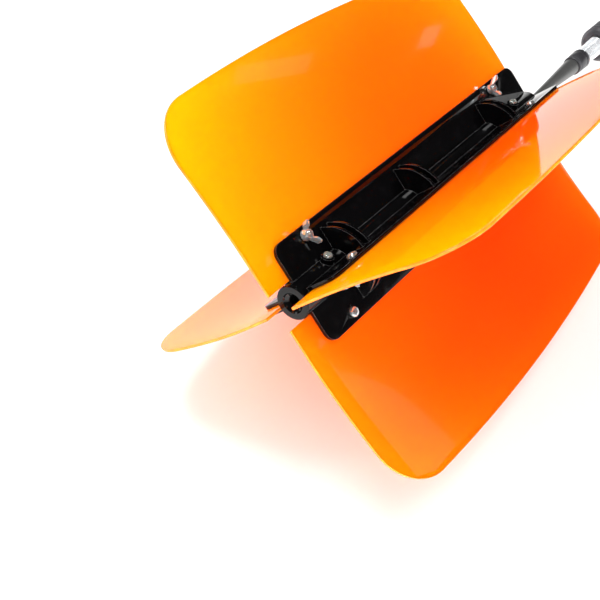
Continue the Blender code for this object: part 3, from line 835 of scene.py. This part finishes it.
@dataclass
class Blades:
    """The four orange blades."""

    shop: Workshop
    length: float = 0.362
    thickness: float = 0.002
    tip_reach: float = 0.144
    butt_reach: float = 0.1335
    bulge: float = 0.0098
    upper_bend: float = 0.0085
    lower_bend: float = 0.0117
    bend_start: float = 0.0363
    bend_power: float = 1.7
    tip_corner: float = 0.039
    butt_corner: float = 0.030
    inner: float = 0.0125
    slot_half: float = 0.0024
    edge: float = 0.00045

    def outer(self, x: float) -> float:
        """Return the reach of the bowed outer edge at station x."""
        share = x / self.length
        straight = self.tip_reach + (self.butt_reach - self.tip_reach) * share
        return straight + self.bulge * 4 * share * (1 - share)

    def outline(self) -> list[Point]:
        """Return one blade's outline in the (station, reach) plane."""
        tip, butt = self.tip_corner, self.length - self.butt_corner
        points = arc((tip, self.outer(tip) - tip), tip, 180, 90, 24)
        points += [(x, self.outer(x)) for x in (tip + (butt - tip) * step / 40 for step in range(1, 40))]
        points += arc((butt, self.outer(butt) - self.butt_corner), self.butt_corner, 90, 0, 20)
        points.append((self.length, self.inner))
        for station in reversed(BOLT_STATIONS):
            points.append((station + self.slot_half, self.inner))
            points += arc((station, BOLT_REACH), self.slot_half, 0, 180, 14)
            points.append((station - self.slot_half, self.inner))
        points.append((0.0, self.inner))
        return points

    def bend_height(self, reach: float, bend: float) -> float:
        """Return how far a sheet stands out of its flat plane at this reach."""
        share = max(0.0, reach - self.bend_start) / (self.tip_reach - self.bend_start)
        return bend * share ** self.bend_power

    def blade_mesh(self, bend: float) -> bpy.types.Mesh:
        """Return one bent sheet with rounded edges; faces of the rim carry material 1.

        Args:
            bend: how far it stands out at the tip reach, towards +Z.

        Returns:
            The sheet in the XY plane.
        """
        half = self.thickness / 2
        bm = prism(self.outline(), -half, half)
        bmesh.ops.recalc_face_normals(bm, faces=bm.faces)
        rims = [edge for edge in bm.edges if edge.calc_face_angle(0.0) > math.radians(60)
                and abs(edge.verts[0].co.z - edge.verts[1].co.z) < half]
        bmesh.ops.bevel(bm, geom=rims, offset=self.edge, segments=3, affect="EDGES", profile=0.5)
        for face in bm.faces:
            face.material_index = 0 if abs(face.normal.z) > 0.9 else 1
        end = self.tip_reach + self.bulge
        cuts = [((0.0, self.bend_start + (end - self.bend_start) * step / 20, 0.0), (0.0, 1.0, 0.0))
                for step in range(20)]
        cuts += [((self.length * step / 24, 0.0, 0.0), (1.0, 0.0, 0.0)) for step in range(1, 24)]
        for place, normal in cuts:
            whole = bm.verts[:] + bm.edges[:] + bm.faces[:]
            bmesh.ops.bisect_plane(bm, geom=whole, dist=1e-7, plane_co=place, plane_no=normal)
        for vertex in bm.verts:
            vertex.co.z += self.bend_height(vertex.co.y, bend)
        mesh = to_mesh(bm, "blade", 50.0)
        layer = mesh.attributes.new(SHEET_PLACE, "FLOAT_VECTOR", "POINT")
        for item, vertex in zip(layer.data, mesh.vertices):
            item.vector = (vertex.co.x / self.length, vertex.co.y / (self.tip_reach + self.bulge), 0.0)
        return mesh

    def build(self) -> None:
        """Make the four blades."""
        bends = (-self.upper_bend, self.upper_bend, -self.lower_bend, self.lower_bend)
        for index, (side, bend) in enumerate(zip(SIDES, bends)):
            mesh = self.blade_mesh(bend)
            mesh.transform(sector(index))
            # material 1, the rim, carries the painted edge glow
            self.shop.place(f"orange_blade_{side}", mesh, (Finish.BLADE, Finish.PAINTED_GLOW_RIM), f"blade_{side}",
                            [f"blade_{side}"], "blade_plastic")


# ============================================================ hub

@dataclass
class Hub:
    """The four ribbed brackets and the ring at the tip end of their tube."""

    shop: Workshop
    tube_radius: float = 0.0115
    tube_bore: float = 0.0056
    plate_reach: float = 0.036
    plate_thickness: float = 0.0025
    plate_corner: float = 0.008
    plate_start: float = 0.0215
    blade_play: float = 0.0013
    rib_radius: float = 0.0275
    rib_thickness: float = 0.002
    rib_pitch: float = 0.0075
    first_ribs: float = 0.07305
    last_ribs: float = 0.29755
    middle_share: float = 0.425
    boss_radius: float = 0.0046
    boss_top: float = 0.0152
    bolt_hole: float = 0.0023
    screw_hole: float = 0.0018
    ring_mouth: float = 0.0074
    ring_bore: float = 0.0042
    ring_flange: float = 0.0027
    ring_play: float = 0.0003
    notch_radius: float = 0.0007
    seam: float = 0.00015
    edge: float = 0.0003

    def plate_outline(self, end: float) -> list[Point]:
        """Return a plate's outline in the (station, reach) plane."""
        inner = (self.tube_bore + self.tube_radius) / 2
        reach = self.plate_reach - self.plate_corner
        points = [(self.plate_start, inner)]
        points += arc((self.plate_start + self.plate_corner, reach), self.plate_corner, 180, 90, 12)
        points += arc((end - self.plate_corner, reach), self.plate_corner, 90, 0, 12)
        points.append((end, inner))
        return points

    @staticmethod
    def quarter_ring(inner: float, outer: float, low: float, high: float, margin: float,
                     steps: int) -> bmesh.types.BMesh:
        """Return a quarter of a ring between +Y and +Z, margin clear of both mid planes."""
        outline: list[Point] = []
        for radius, forward in ((outer, True), (inner, False)):
            edge = math.degrees(math.asin(margin / radius))
            ends = (edge, 90 - edge) if forward else (90 - edge, edge)
            outline += arc((0.0, 0.0), radius, *ends, steps)
        cycle = Matrix(((0, 0, 1, 0), (1, 0, 0, 0), (0, 1, 0, 0), (0, 0, 0, 1)))
        return moved(prism(outline, low, high), cycle)

    @staticmethod
    def radial(shape: bmesh.types.BMesh, station: float) -> bmesh.types.BMesh:
        """Turn a shape made along +X to point out between the plates at a station."""
        turn = about("X", 45) @ about("Z", 90)
        return moved(shape, Matrix.Translation((station, 0.0, 0.0)) @ turn)

    @staticmethod
    def bar(radius: float, low: float, high: float, segments: int = 28) -> bmesh.types.BMesh:
        """Return a round bar along X."""
        return turned([(low, 0.0), (low, radius), (high, radius), (high, 0.0)], segments)

    def rib_stations(self) -> list[float]:
        """Return the stations of the six ribs."""
        middle = self.first_ribs + (self.last_ribs - self.first_ribs) * self.middle_share
        return [pair + side * self.rib_pitch / 2 for pair in (self.first_ribs, middle, self.last_ribs)
                for side in (-1, 1)]

    def bracket_mesh(self) -> bpy.types.Mesh:
        """Return one bracket between +Y and +Z."""
        start, end = self.shop.shaft.span("hub_bracket_top")
        low, high = self.blade_play, self.blade_play + self.plate_thickness
        plate = self.plate_outline(end)
        shapes = [prism(plate, low, high), moved(prism(plate, -high, -low), about("X", 90))]
        margin = self.blade_play + self.plate_thickness / 2
        for station in self.rib_stations():
            near, far = station - self.rib_thickness / 2, station + self.rib_thickness / 2
            shapes.append(self.quarter_ring(self.tube_radius - MM, self.rib_radius, near, far, margin, 28))
        for station in SCREW_STATIONS:
            boss = self.bar(self.boss_radius, self.tube_radius - 2 * MM, self.boss_top)
            shapes.append(self.radial(boss, station))
        tube = self.quarter_ring(self.tube_bore, self.tube_radius, start, end, self.seam, 14)
        solid = cut_or_joined(tube, shapes, "UNION")
        holes = []
        beyond = high + MM
        for station in BOLT_STATIONS:
            up = about("Y", -90)
            holes.append(moved(self.bar(self.bolt_hole, 0.0, beyond),
                               Matrix.Translation((station, BOLT_REACH, 0.0)) @ up))
            across = about("Z", 90)
            holes.append(moved(self.bar(self.bolt_hole, 0.0, beyond),
                               Matrix.Translation((station, 0.0, BOLT_REACH)) @ across))
        for station in SCREW_STATIONS:
            holes.append(self.radial(self.bar(self.screw_hole, 2 * MM, self.boss_top + 2 * MM), station))
        mesh = cut_or_joined(bmesh_of(solid), holes, "DIFFERENCE")
        mesh.materials.clear()
        # the rounded edges get the pale grey finish, painted highlight outlines
        for finish in (Finish.HUB, Finish.HUB_EDGE_PAINTED_HIGHLIGHT):
            mesh.materials.append(finish.material())
        return softened(mesh, self.edge, edge_material=1)

    def ring_mesh(self) -> bpy.types.Mesh:
        """Return the bush at the tip end, with a few finger notches round its rim."""
        low, high = self.shop.shaft.span("tip_bush")
        rim = self.shop.shaft.reach("tip_bush")
        bore, fit, flange = self.ring_bore, self.tube_bore - self.ring_play, low + self.ring_flange
        profile = [(low, self.ring_mouth), (low, rim - 0.0006), (low + 0.0006, rim), (flange, rim),
                   (flange, fit), (high, fit), (high, bore), (flange, bore),
                   (low + 0.0012, self.ring_mouth - 0.0008)]
        profile = eased(profile + profile[:1], 0.0003)[:-1]
        body = turned(profile, 72)
        notches = [moved(self.bar(self.notch_radius, low - MM, flange + 0.0001, 12),
                         about("X", turn) @ Matrix.Translation((0.0, rim, 0.0)))
                   for turn in range(0, 360, 45)]
        return smoothed(cut_or_joined(body, notches, "DIFFERENCE"), 40)

    def build(self) -> None:
        """Make the brackets and the ring, and dress the pieces inside the tube."""
        master = self.bracket_mesh()
        for index, quarter in enumerate(QUARTERS):
            mesh = master.copy()
            mesh.transform(sector(index))
            node = f"hub_bracket_{quarter}"
            # second finish: painted highlight outlines on the rounded edges
            finishes = (Finish.HUB, Finish.HUB_EDGE_PAINTED_HIGHLIGHT)
            self.shop.place(f"ribbed_bracket_{quarter}", mesh, finishes, "head", [node], "hub_plastic")
        self.shop.place("tip_ring", self.ring_mesh(), Finish.BUSH, "head", ["tip_bush"], "hub_plastic")
        self.shop.dress_node("core_rod", Finish.ROD)
        self.shop.dress_node("rear_bush", Finish.BUSH)


# ============================================================ screws and nuts

@dataclass(frozen=True)
class PanScrew:
    """Sizes of one pan-head screw with a cross recess; its head's underside is at x = 0."""

    head_radius: float
    head_height: float
    radius: float
    length: float
    pitch: float = 0.0007
    plain: float = 0.0035
    sharp: float = 28.0

    def head_mesh(self) -> bpy.types.Mesh:
        """Return the head and shank with the recess cut."""
        height, radius = self.head_height, self.head_radius
        core = self.radius - self.pitch * 0.35
        profile = [(-height, 0.0), (-height, radius * 0.42), (-height * 0.86, radius * 0.80),
                   (-height * 0.42, radius * 0.985), (-0.0001, radius), (0.0, radius * 0.97)]
        rounded = eased(profile, 0.0008, 4)
        rounded += [(0.0, self.radius), (self.plain, self.radius), (self.plain + 0.0003, core),
                    (self.length - 0.0004, core), (self.length, core - 0.0004), (self.length, 0.0)]
        slots = []
        for turn in (0, 90):
            outline = [(-height - MM, -radius * 0.54), (-height * 0.35, -radius * 0.30),
                       (-height * 0.35, radius * 0.30), (-height - MM, radius * 0.54)]
            slot = prism(outline, -radius * 0.13, radius * 0.13)
            slots.append(moved(slot, about("X", turn)))
        return smoothed(cut_or_joined(turned(rounded, 40), slots, "DIFFERENCE"), self.sharp)

    def thread_mesh(self, material: bpy.types.Material) -> bpy.types.Mesh:
        """Return the thread as a fine wire wound on the shank."""
        run = self.length - self.plain - 0.0006
        turns = run / self.pitch
        radius = self.radius - self.pitch * 0.36
        return helix_mesh("screw_thread", self.plain + 0.0002, run, turns, (radius, radius),
                          self.pitch * 0.34, material, 20, 6)

    def mesh(self, finish: Finish) -> bpy.types.Mesh:
        """Return head, shank and thread in one mesh."""
        bm = bmesh_of(self.head_mesh())
        bm.from_mesh(self.thread_mesh(finish.material()))
        mesh = bpy.data.meshes.new("pan_screw")
        bm.to_mesh(mesh)
        bm.free()
        return smoothed(mesh, self.sharp)


@dataclass
class Clamps:
    """Bolts and wing nuts that clamp the blades, and the screws that pinch the shaft."""

    shop: Workshop
    seat: float = 0.0041
    screw_reach: float = 0.0155
    nut_base: float = 0.0042
    nut_top: float = 0.0033
    nut_height: float = 0.0045
    nut_play: float = 0.0003
    nut_foot: float = 0.0010
    bolt: PanScrew = PanScrew(0.0038, 0.0026, 0.002, 0.0143)
    screw: PanScrew = PanScrew(0.0032, 0.0022, 0.0015, 0.0102, 0.0011, 0.0012)
    wing_span: float = 0.0176
    wing_rise: float = 0.0098
    wing_thickness: float = 0.0015
    wing_depth: float = 0.0046
    wing_corner: float = 0.0014
    nut_angles: tuple[float, ...] = (4, 149, 118, 74, 97, 40, 81, 126)

    def wing_outline(self, side: int) -> list[Point]:
        """Return one wing in the (height, span) plane."""
        inner, tip, corner = self.nut_top * 0.82, self.wing_span / 2, self.wing_corner
        points = [(self.nut_height * 0.27, inner), (self.nut_height * 0.5, self.nut_base + 0.0004),
                  (self.wing_rise - self.wing_depth, tip - corner * 0.4)]
        points += arc((self.wing_rise - corner, tip - corner), corner, 90, -10, 9)
        points += [(self.wing_rise - corner, tip - 3 * corner), (self.nut_height * 0.9, inner)]
        return [(x, y * side) for x, y in points]

    def nut_mesh(self) -> bpy.types.Mesh:
        """Return a wing nut with its seat at x = 0 and rounded edges."""
        bore = self.bolt.radius + self.nut_play
        profile = [(0.0, bore), (0.0, self.nut_base), (self.nut_foot, self.nut_base),
                   (self.nut_height, self.nut_top), (self.nut_height, bore)]
        half = self.wing_thickness / 2
        wings = [prism(self.wing_outline(side), -half, half) for side in (1, -1)]
        return softened(cut_or_joined(turned(profile, 40), wings, "UNION"), 0.0003, 32.0, 3)

    def bolt_points(self) -> bpy.types.Mesh:
        """Return the places of the eight clamp bolts, under their heads."""
        spots, outward, along = [], [], []
        for index in range(len(SIDES)):
            turn = sector(index)
            for station in BOLT_STATIONS:
                spots.append(turn @ Vector((station, BOLT_REACH, -self.seat)))
                outward.append(turn @ Vector((0.0, 0.0, 1.0)))
                mark = Vector((math.cos(station * 90), math.sin(station * 90), 0.0))
                along.append((turn @ mark).normalized())
        return points_mesh(spots, outward, along)

    def screw_points(self) -> bpy.types.Mesh:
        """Return the places of the eight shaft screws, under their heads."""
        spots, outward, along = [], [], []
        for index in range(len(QUARTERS)):
            inward = sector(index) @ Vector((0.0, -math.sqrt(0.5), -math.sqrt(0.5)))
            for station in SCREW_STATIONS:
                spots.append(Vector((station, 0.0, 0.0)) - inward * self.screw_reach)
                outward.append(inward)
                level = inward.cross(Vector((1.0, 0.0, 0.0)))
                turn = math.radians(25 + 40 * index + 300 * station)
                along.append(Vector((1.0, 0.0, 0.0)) * math.cos(turn) + level * math.sin(turn))
        return points_mesh(spots, outward, along)

    def build(self) -> None:
        """Make the bolts, the nuts and the shaft screws."""
        bolts = copies_on_points("clamp_bolts", self.bolt_points(), self.bolt.mesh(Finish.BOLT),
                                 Finish.BOLT.material())
        nodes = [f"clamp_bolt_{side}_{end}" for side in SIDES for end in ENDS]
        self.shop.place("clamp_bolts", bolts, Finish.BOLT, "head", nodes, "bolt_zinc")
        screws = copies_on_points("shaft_screws", self.screw_points(), self.screw.mesh(Finish.SCREW),
                                  Finish.SCREW.material())
        nodes = [f"shaft_screw_{quarter}_{end}" for quarter in QUARTERS for end in ENDS]
        self.shop.place("shaft_screws", screws, Finish.SCREW, "head", nodes, "screw_zinc")
        master = self.nut_mesh()
        up = about("Y", -90)
        for index, side in enumerate(SIDES):
            for end, station in enumerate(BOLT_STATIONS):
                mesh = master.copy()
                turn = about("X", self.nut_angles[2 * index + end])
                spot = Matrix.Translation((station, BOLT_REACH, self.seat))
                mesh.transform(sector(index) @ spot @ up @ turn)
                name = f"{side}_{ENDS[end]}"
                self.shop.place(f"winged_nut_{name}", mesh, Finish.NUT, f"wing_nut_{name}",
                                [f"wing_nut_{name}"], "nut_zinc")


# ============================================================ neck and spring

@dataclass
class Neck:
    """The tapered neck, its ferrule and the coil spring behind it."""

    shop: Workshop
    collar: float = 0.0043
    collar_length: float = 0.0095
    waist: float = 0.0028
    spigot: float = 0.0029
    cone_end: float = 0.4591
    end_radius: float = 0.0072
    plug: float = 0.0055
    ferrule_tip: float = 0.0083
    ferrule_butt: float = 0.0088
    grooves: Point = (0.0035, 0.0155)
    groove_depth: float = 0.0004
    wire: float = 0.00078
    turns: float = 12.0
    radii: Point = (0.0068, 0.0077)

    def neck_mesh(self) -> bpy.types.Mesh:
        """Return the neck from its spigot in the hub to its plug in the spring."""
        low, high = self.shop.shaft.span("neck_shaft")
        start = self.shop.shaft.span("rear_bush")[1] + 0.0003
        cone = start + self.collar_length
        profile = [(low, 0.0), (low, self.spigot), (start, self.spigot), (start, self.collar - 0.0008),
                   (start + 0.0008, self.collar), (cone - 0.0016, self.collar), (cone, self.waist + 0.0002),
                   (cone + 0.004, self.waist + 0.0001), (self.cone_end - 0.0008, self.end_radius),
                   (self.cone_end, self.end_radius - 0.0008), (self.cone_end, self.plug),
                   (high, self.plug), (high, 0.0)]
        return to_mesh(turned(eased(profile, 0.0012, 5), 72), "neck")

    def ferrule_mesh(self) -> bpy.types.Mesh:
        """Return the ferrule with a raised band and two fine grooves."""
        low, high = self.shop.shaft.span("neck_ferrule")
        bore, tip, butt = self.plug + 0.0003, self.ferrule_tip, self.ferrule_butt

        def wall(station: float) -> float:
            """Return the outer radius at a station."""
            return tip + (butt - tip) * (station - low) / (high - low)
        profile = [(low, bore), (low, tip - 0.0007), (low + 0.0007, tip)]
        depth = self.groove_depth
        for groove in (low + place for place in self.grooves):
            profile += [(groove, wall(groove)), (groove + 0.0002, wall(groove) - depth),
                        (groove + 0.0007, wall(groove) - depth), (groove + 0.0009, wall(groove))]
        profile += [(high - 0.0009, butt), (high, butt - 0.0009), (high, bore)]
        return to_mesh(turned(eased(profile, 0.0004, 3), 72), "ferrule")

    def build(self) -> None:
        """Make the three pieces."""
        self.shop.place("tapered_neck", self.neck_mesh(), Finish.NECK, "head", ["neck_shaft"], "neck_grey")
        self.shop.place("neck_band", self.ferrule_mesh(), Finish.FERRULE, "head", ["neck_ferrule"],
                        "ferrule_rubber")
        low, high = self.shop.shaft.span("coil_spring")
        coil = helix_mesh("coil", low + self.wire, high - low - 2 * self.wire, self.turns, self.radii,
                          self.wire, Finish.CHROME.material(), 64, 16)
        coil.transform(self.shop.shaft.matrix)
        coil.materials.clear()
        coil.materials.append(Finish.CHROME.material())
        piece = linked("chrome_coil", coil)
        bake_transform(piece)
        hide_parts("coil_spring")
        LOG.info("chrome_coil bends between head and handle")


# ============================================================ handle

@dataclass
class Handle:
    """The ribbed cup, the patterned grip and its cap."""

    shop: Workshop
    bore: float = 0.0078
    mouth: float = 0.0090
    ribs: int = 4
    land: float = 0.003
    groove: float = 0.0011
    tip_radius: float = 0.0122
    stud: Point = (0.0021, 0.0042)
    stud_height: float = 0.00022
    stud_rows: int = 40
    studs_round: int = 20

    def cup_mesh(self) -> bpy.types.Mesh:
        """Return the ribbed cup, open towards the spring."""
        low, high = self.shop.shaft.span("grip_cup")
        radius = self.shop.shaft.reach("grip_cup")
        tube = self.shop.shaft.span("handle_tube")[0]
        profile = [(low, self.mouth), (low, radius - 0.0025), (low + 0.0020, radius)]
        pitch = (high - low - 2 * self.land) / self.ribs
        for index in range(self.ribs):
            start = low + self.land + pitch * index
            profile += [(start + pitch * 0.22, radius), (start + pitch * 0.36, radius - self.groove),
                        (start + pitch * 0.64, radius - self.groove), (start + pitch * 0.78, radius)]
        profile += [(high - 0.0010, radius), (high, radius - 0.0010), (high, self.bore),
                    (tube, self.bore), (tube, self.mouth)]
        return to_mesh(turned(eased(profile + profile[:1], 0.0007, 4)[:-1], 96), "cup")

    def grip_radius(self, share: float, tip: float, butt: float) -> float:
        """Return the grip's radius a share of the way from its tip end."""
        return tip + (butt - tip) * share - 0.0016 * share * (1 - share)

    def grip_mesh(self, tip: float, butt: float) -> bpy.types.Mesh:
        """Return the plain body of the grip."""
        low, high = self.shop.shaft.span("grip")
        steps = 24
        profile = [(low, self.bore), (low, tip - 0.0010), (low + 0.0010, tip)]
        for step in range(1, steps):
            share = step / steps
            profile.append((low + (high - low) * share, self.grip_radius(share, tip, butt)))
        profile += [(high - 0.0010, butt), (high, butt - 0.0010), (high, self.bore)]
        return to_mesh(turned(profile, 96), "grip")

    def stud_mesh(self) -> bpy.types.Mesh:
        """Return one raised lozenge of the grip's pattern; X is outward."""
        wide, long = self.stud
        bm = bmesh.new()
        layers = ((-0.0004, 1.0), (self.stud_height * 0.6, 0.94), (self.stud_height, 0.72))
        rings = []
        for height, scale in layers:
            corners = [(long, 0.0), (0.0, wide), (-long, 0.0), (0.0, -wide)]
            rings.append([bm.verts.new((height, x * scale / 2, y * scale / 2)) for x, y in corners])
        for first, second in zip(rings, rings[1:]):
            for step in range(4):
                after = (step + 1) % 4
                bm.faces.new((first[step], first[after], second[after], second[step]))
        bm.faces.new(rings[0])
        bm.faces.new(rings[-1])
        return to_mesh(bm, "stud")

    def stud_points(self, tip: float, butt: float) -> bpy.types.Mesh:
        """Return where the lozenges stand, in offset rows between the grip's plain ends."""
        low, high = self.shop.shaft.span("grip")
        spots, outward, along = [], [], []
        for row in range(self.stud_rows):
            share = 0.06 + 0.86 * row / (self.stud_rows - 1)
            station = low + (high - low) * share
            radius = self.grip_radius(share, tip, butt)
            for step in range(self.studs_round):
                turn = 2 * math.pi * (step + 0.5 * (row % 2)) / self.studs_round
                out = Vector((0.0, math.cos(turn), math.sin(turn)))
                spots.append(Vector((station, 0.0, 0.0)) + out * radius)
                outward.append(out)
                along.append(Vector((1.0, 0.0, 0.0)))
        return points_mesh(spots, outward, along)

    def cap_mesh(self) -> bpy.types.Mesh:
        """Return the end cap with a shallow ring and a vent in its face."""
        low, high = self.shop.shaft.span("grip_cap")
        seat = self.shop.shaft.span("grip")[1] + 0.0003
        radius = self.shop.shaft.reach("grip_cap")
        inner = self.bore - 0.0003
        profile = [(low, 0.0), (low, inner), (seat, inner), (seat, radius), (high - 0.0012, radius),
                   (high, radius - 0.0012), (high, 0.0095), (high - 0.0004, 0.0091),
                   (high - 0.0004, 0.0083), (high, 0.0079), (high, 0.0013), (high - 0.0015, 0.0011),
                   (high - 0.0015, 0.0)]
        return to_mesh(turned(eased(profile, 0.0004, 3), 72), "cap")

    def build(self) -> None:
        """Make the handle's pieces and dress the plug and tube inside."""
        tip, butt = self.tip_radius, self.shop.shaft.reach("grip") - self.stud_height
        self.shop.place("ribbed_cup", self.cup_mesh(), Finish.CUP, "handle", ["grip_cup"], "cup_rubber")
        grip = self.grip_mesh(tip, butt)
        self.shop.place("rubber_grip", grip, Finish.GRIP, "handle", ["grip"], "grip_rubber")
        studs = copies_on_points("grip_studs", self.stud_points(tip, butt), self.stud_mesh(),
                                 Finish.GRIP.material())
        self.shop.place("grip_studs", studs, Finish.GRIP, "handle", (), "grip_rubber")
        self.shop.place("end_cap", self.cap_mesh(), Finish.CAP, "handle", ["grip_cap"], "cap_plastic")
        self.shop.dress_node("handle_plug", Finish.ROD)
        self.shop.dress_node("handle_tube", Finish.TUBE)


# ============================================================ studio

@dataclass(frozen=True)
class SoftLight:
    """One rectangular studio light."""

    name: str
    place: tuple[float, float, float]
    target: tuple[float, float, float]
    width: float
    height: float
    power: float
    mirrored: bool = False
    spread: float = 180.0

    def build(self) -> None:
        """Add the light, aimed at its target; only a mirrored one shows in the gloss."""
        lamp = bpy.data.lights.new(self.name, "AREA")
        lamp.shape = "RECTANGLE"
        lamp.size = self.width
        lamp.size_y = self.height
        lamp.energy = self.power
        lamp.spread = math.radians(self.spread)
        holder = linked(self.name, lamp)
        aim = Vector(self.target) - Vector(self.place)
        turn = aim.to_track_quat("-Z", "Y").to_matrix().to_4x4()
        holder.matrix_world = Matrix.Translation(self.place) @ turn
        holder.visible_glossy = self.mirrored
        holder.visible_camera = False


@dataclass
class Studio:
    """Floor, light and camera."""

    camera_place: tuple[float, float, float] = (-0.7661, -0.2908, 0.6581)
    camera_aim: tuple[float, float, float] = (0.5687, 0.4026, -0.7173)
    camera_roll: float = -1.637
    lens: float = 68.4
    sky: Colour = (1.0, 1.0, 1.0)
    sky_strength: float = 0.9
    gloss_strength: float = 0.03
    floor_size: float = 6.0
    floor_steps: int = 24
    floor_gap: float = 0.0002
    lights: tuple[SoftLight, ...] = (
        SoftLight("key_fill", (0.95, -0.50, 1.15), (-0.1, 0.0, 0.1), 0.8, 0.8, 12.0),
        SoftLight("back_left_fill", (-0.28, 0.72, 0.05), (-0.2, 0.16, 0.30), 0.8, 0.3, 9.0, False, 80.0),
        SoftLight("low_right_fill", (-0.28, -0.75, 0.05), (-0.2, -0.14, 0.28), 0.8, 0.3, 4.2, False, 80.0),
        SoftLight("left_window", (1.1, -0.4, 0.93), (-0.24, 0.10, 0.21), 0.055, 0.17, 0.012, True),
        SoftLight("right_window", (0.84, -1.02, 0.62), (-0.36, -0.09, 0.07), 0.16, 0.07, 0.020, True),
        SoftLight("far_window", (1.35, -0.47, 0.64), (-0.07, 0.07, 0.16), 0.06, 0.04, 0.007, True),
        SoftLight("top_box", (-0.35, 0.45, 1.60), (-0.1, 0.0, 0.1), 0.45, 0.45, 11.0, True),
        SoftLight("side_box", (-0.5, 1.7, 1.0), (0.0, 0.0, 0.1), 1.0, 0.6, 4.0, True),
        SoftLight("near_box", (-1.5, -1.1, 1.2), (0.0, 0.0, 0.1), 1.0, 0.6, 4.0, True),
        SoftLight("under_fill", (-0.75, -0.25, 0.06), (-0.25, 0.08, 0.05), 0.3, 0.1, 0.9, False, 90.0),
    )

    def floor(self) -> None:
        """Lay a wide pale floor just under the trainer."""
        bm = bmesh.new()
        steps = self.floor_steps
        bmesh.ops.create_grid(bm, x_segments=steps, y_segments=steps, size=self.floor_size)
        mesh = to_mesh(bm, "floor")
        mesh.materials.append(Finish.FLOOR.material())
        ground = linked("studio_floor", mesh)
        ground.location = (0.0, 0.0, -self.floor_gap)

    def world(self) -> None:
        """Give the room an even pale light, with dark walls for the gloss to mirror."""
        world = bpy.data.worlds.new("studio")
        world.use_nodes = True
        tree = world.node_tree
        background = tree.nodes["Background"]
        background.inputs["Color"].default_value = (*self.sky, 1.0)
        path = tree.nodes.new("ShaderNodeLightPath")
        strength = tree.nodes.new("ShaderNodeMapRange")
        strength.inputs["To Min"].default_value = self.sky_strength
        strength.inputs["To Max"].default_value = self.gloss_strength
        tree.links.new(path.outputs["Is Glossy Ray"], strength.inputs["Value"])
        tree.links.new(strength.outputs["Result"], background.inputs["Strength"])
        bpy.context.scene.world = world

    def camera(self) -> None:
        """Stand the camera at the tip of the head, looking down along the shaft."""
        data = bpy.data.cameras.new("camera")
        data.lens = self.lens
        data.clip_start, data.clip_end = 0.01, 50.0
        holder = linked("camera", data)
        turn = Vector(self.camera_aim).to_track_quat("-Z", "Y").to_matrix().to_4x4()
        roll = about("Z", self.camera_roll)
        holder.matrix_world = Matrix.Translation(self.camera_place) @ turn @ roll
        bpy.context.scene.camera = holder

    def build(self) -> None:
        """Set up the studio."""
        self.floor()
        self.world()
        for light in self.lights:
            light.build()
        self.camera()
        bpy.context.scene.view_settings.view_transform = "Standard"


def main() -> None:
    """Build every sub-assembly in order."""
    logging.basicConfig(level=logging.INFO, format="%(message)s")
    shop = Workshop(ShaftFrame.from_record())
    Blades(shop).build()
    Hub(shop).build()
    Clamps(shop).build()
    Neck(shop).build()
    Handle(shop).build()
    Studio().build()


if __name__ == "__main__":
    main()
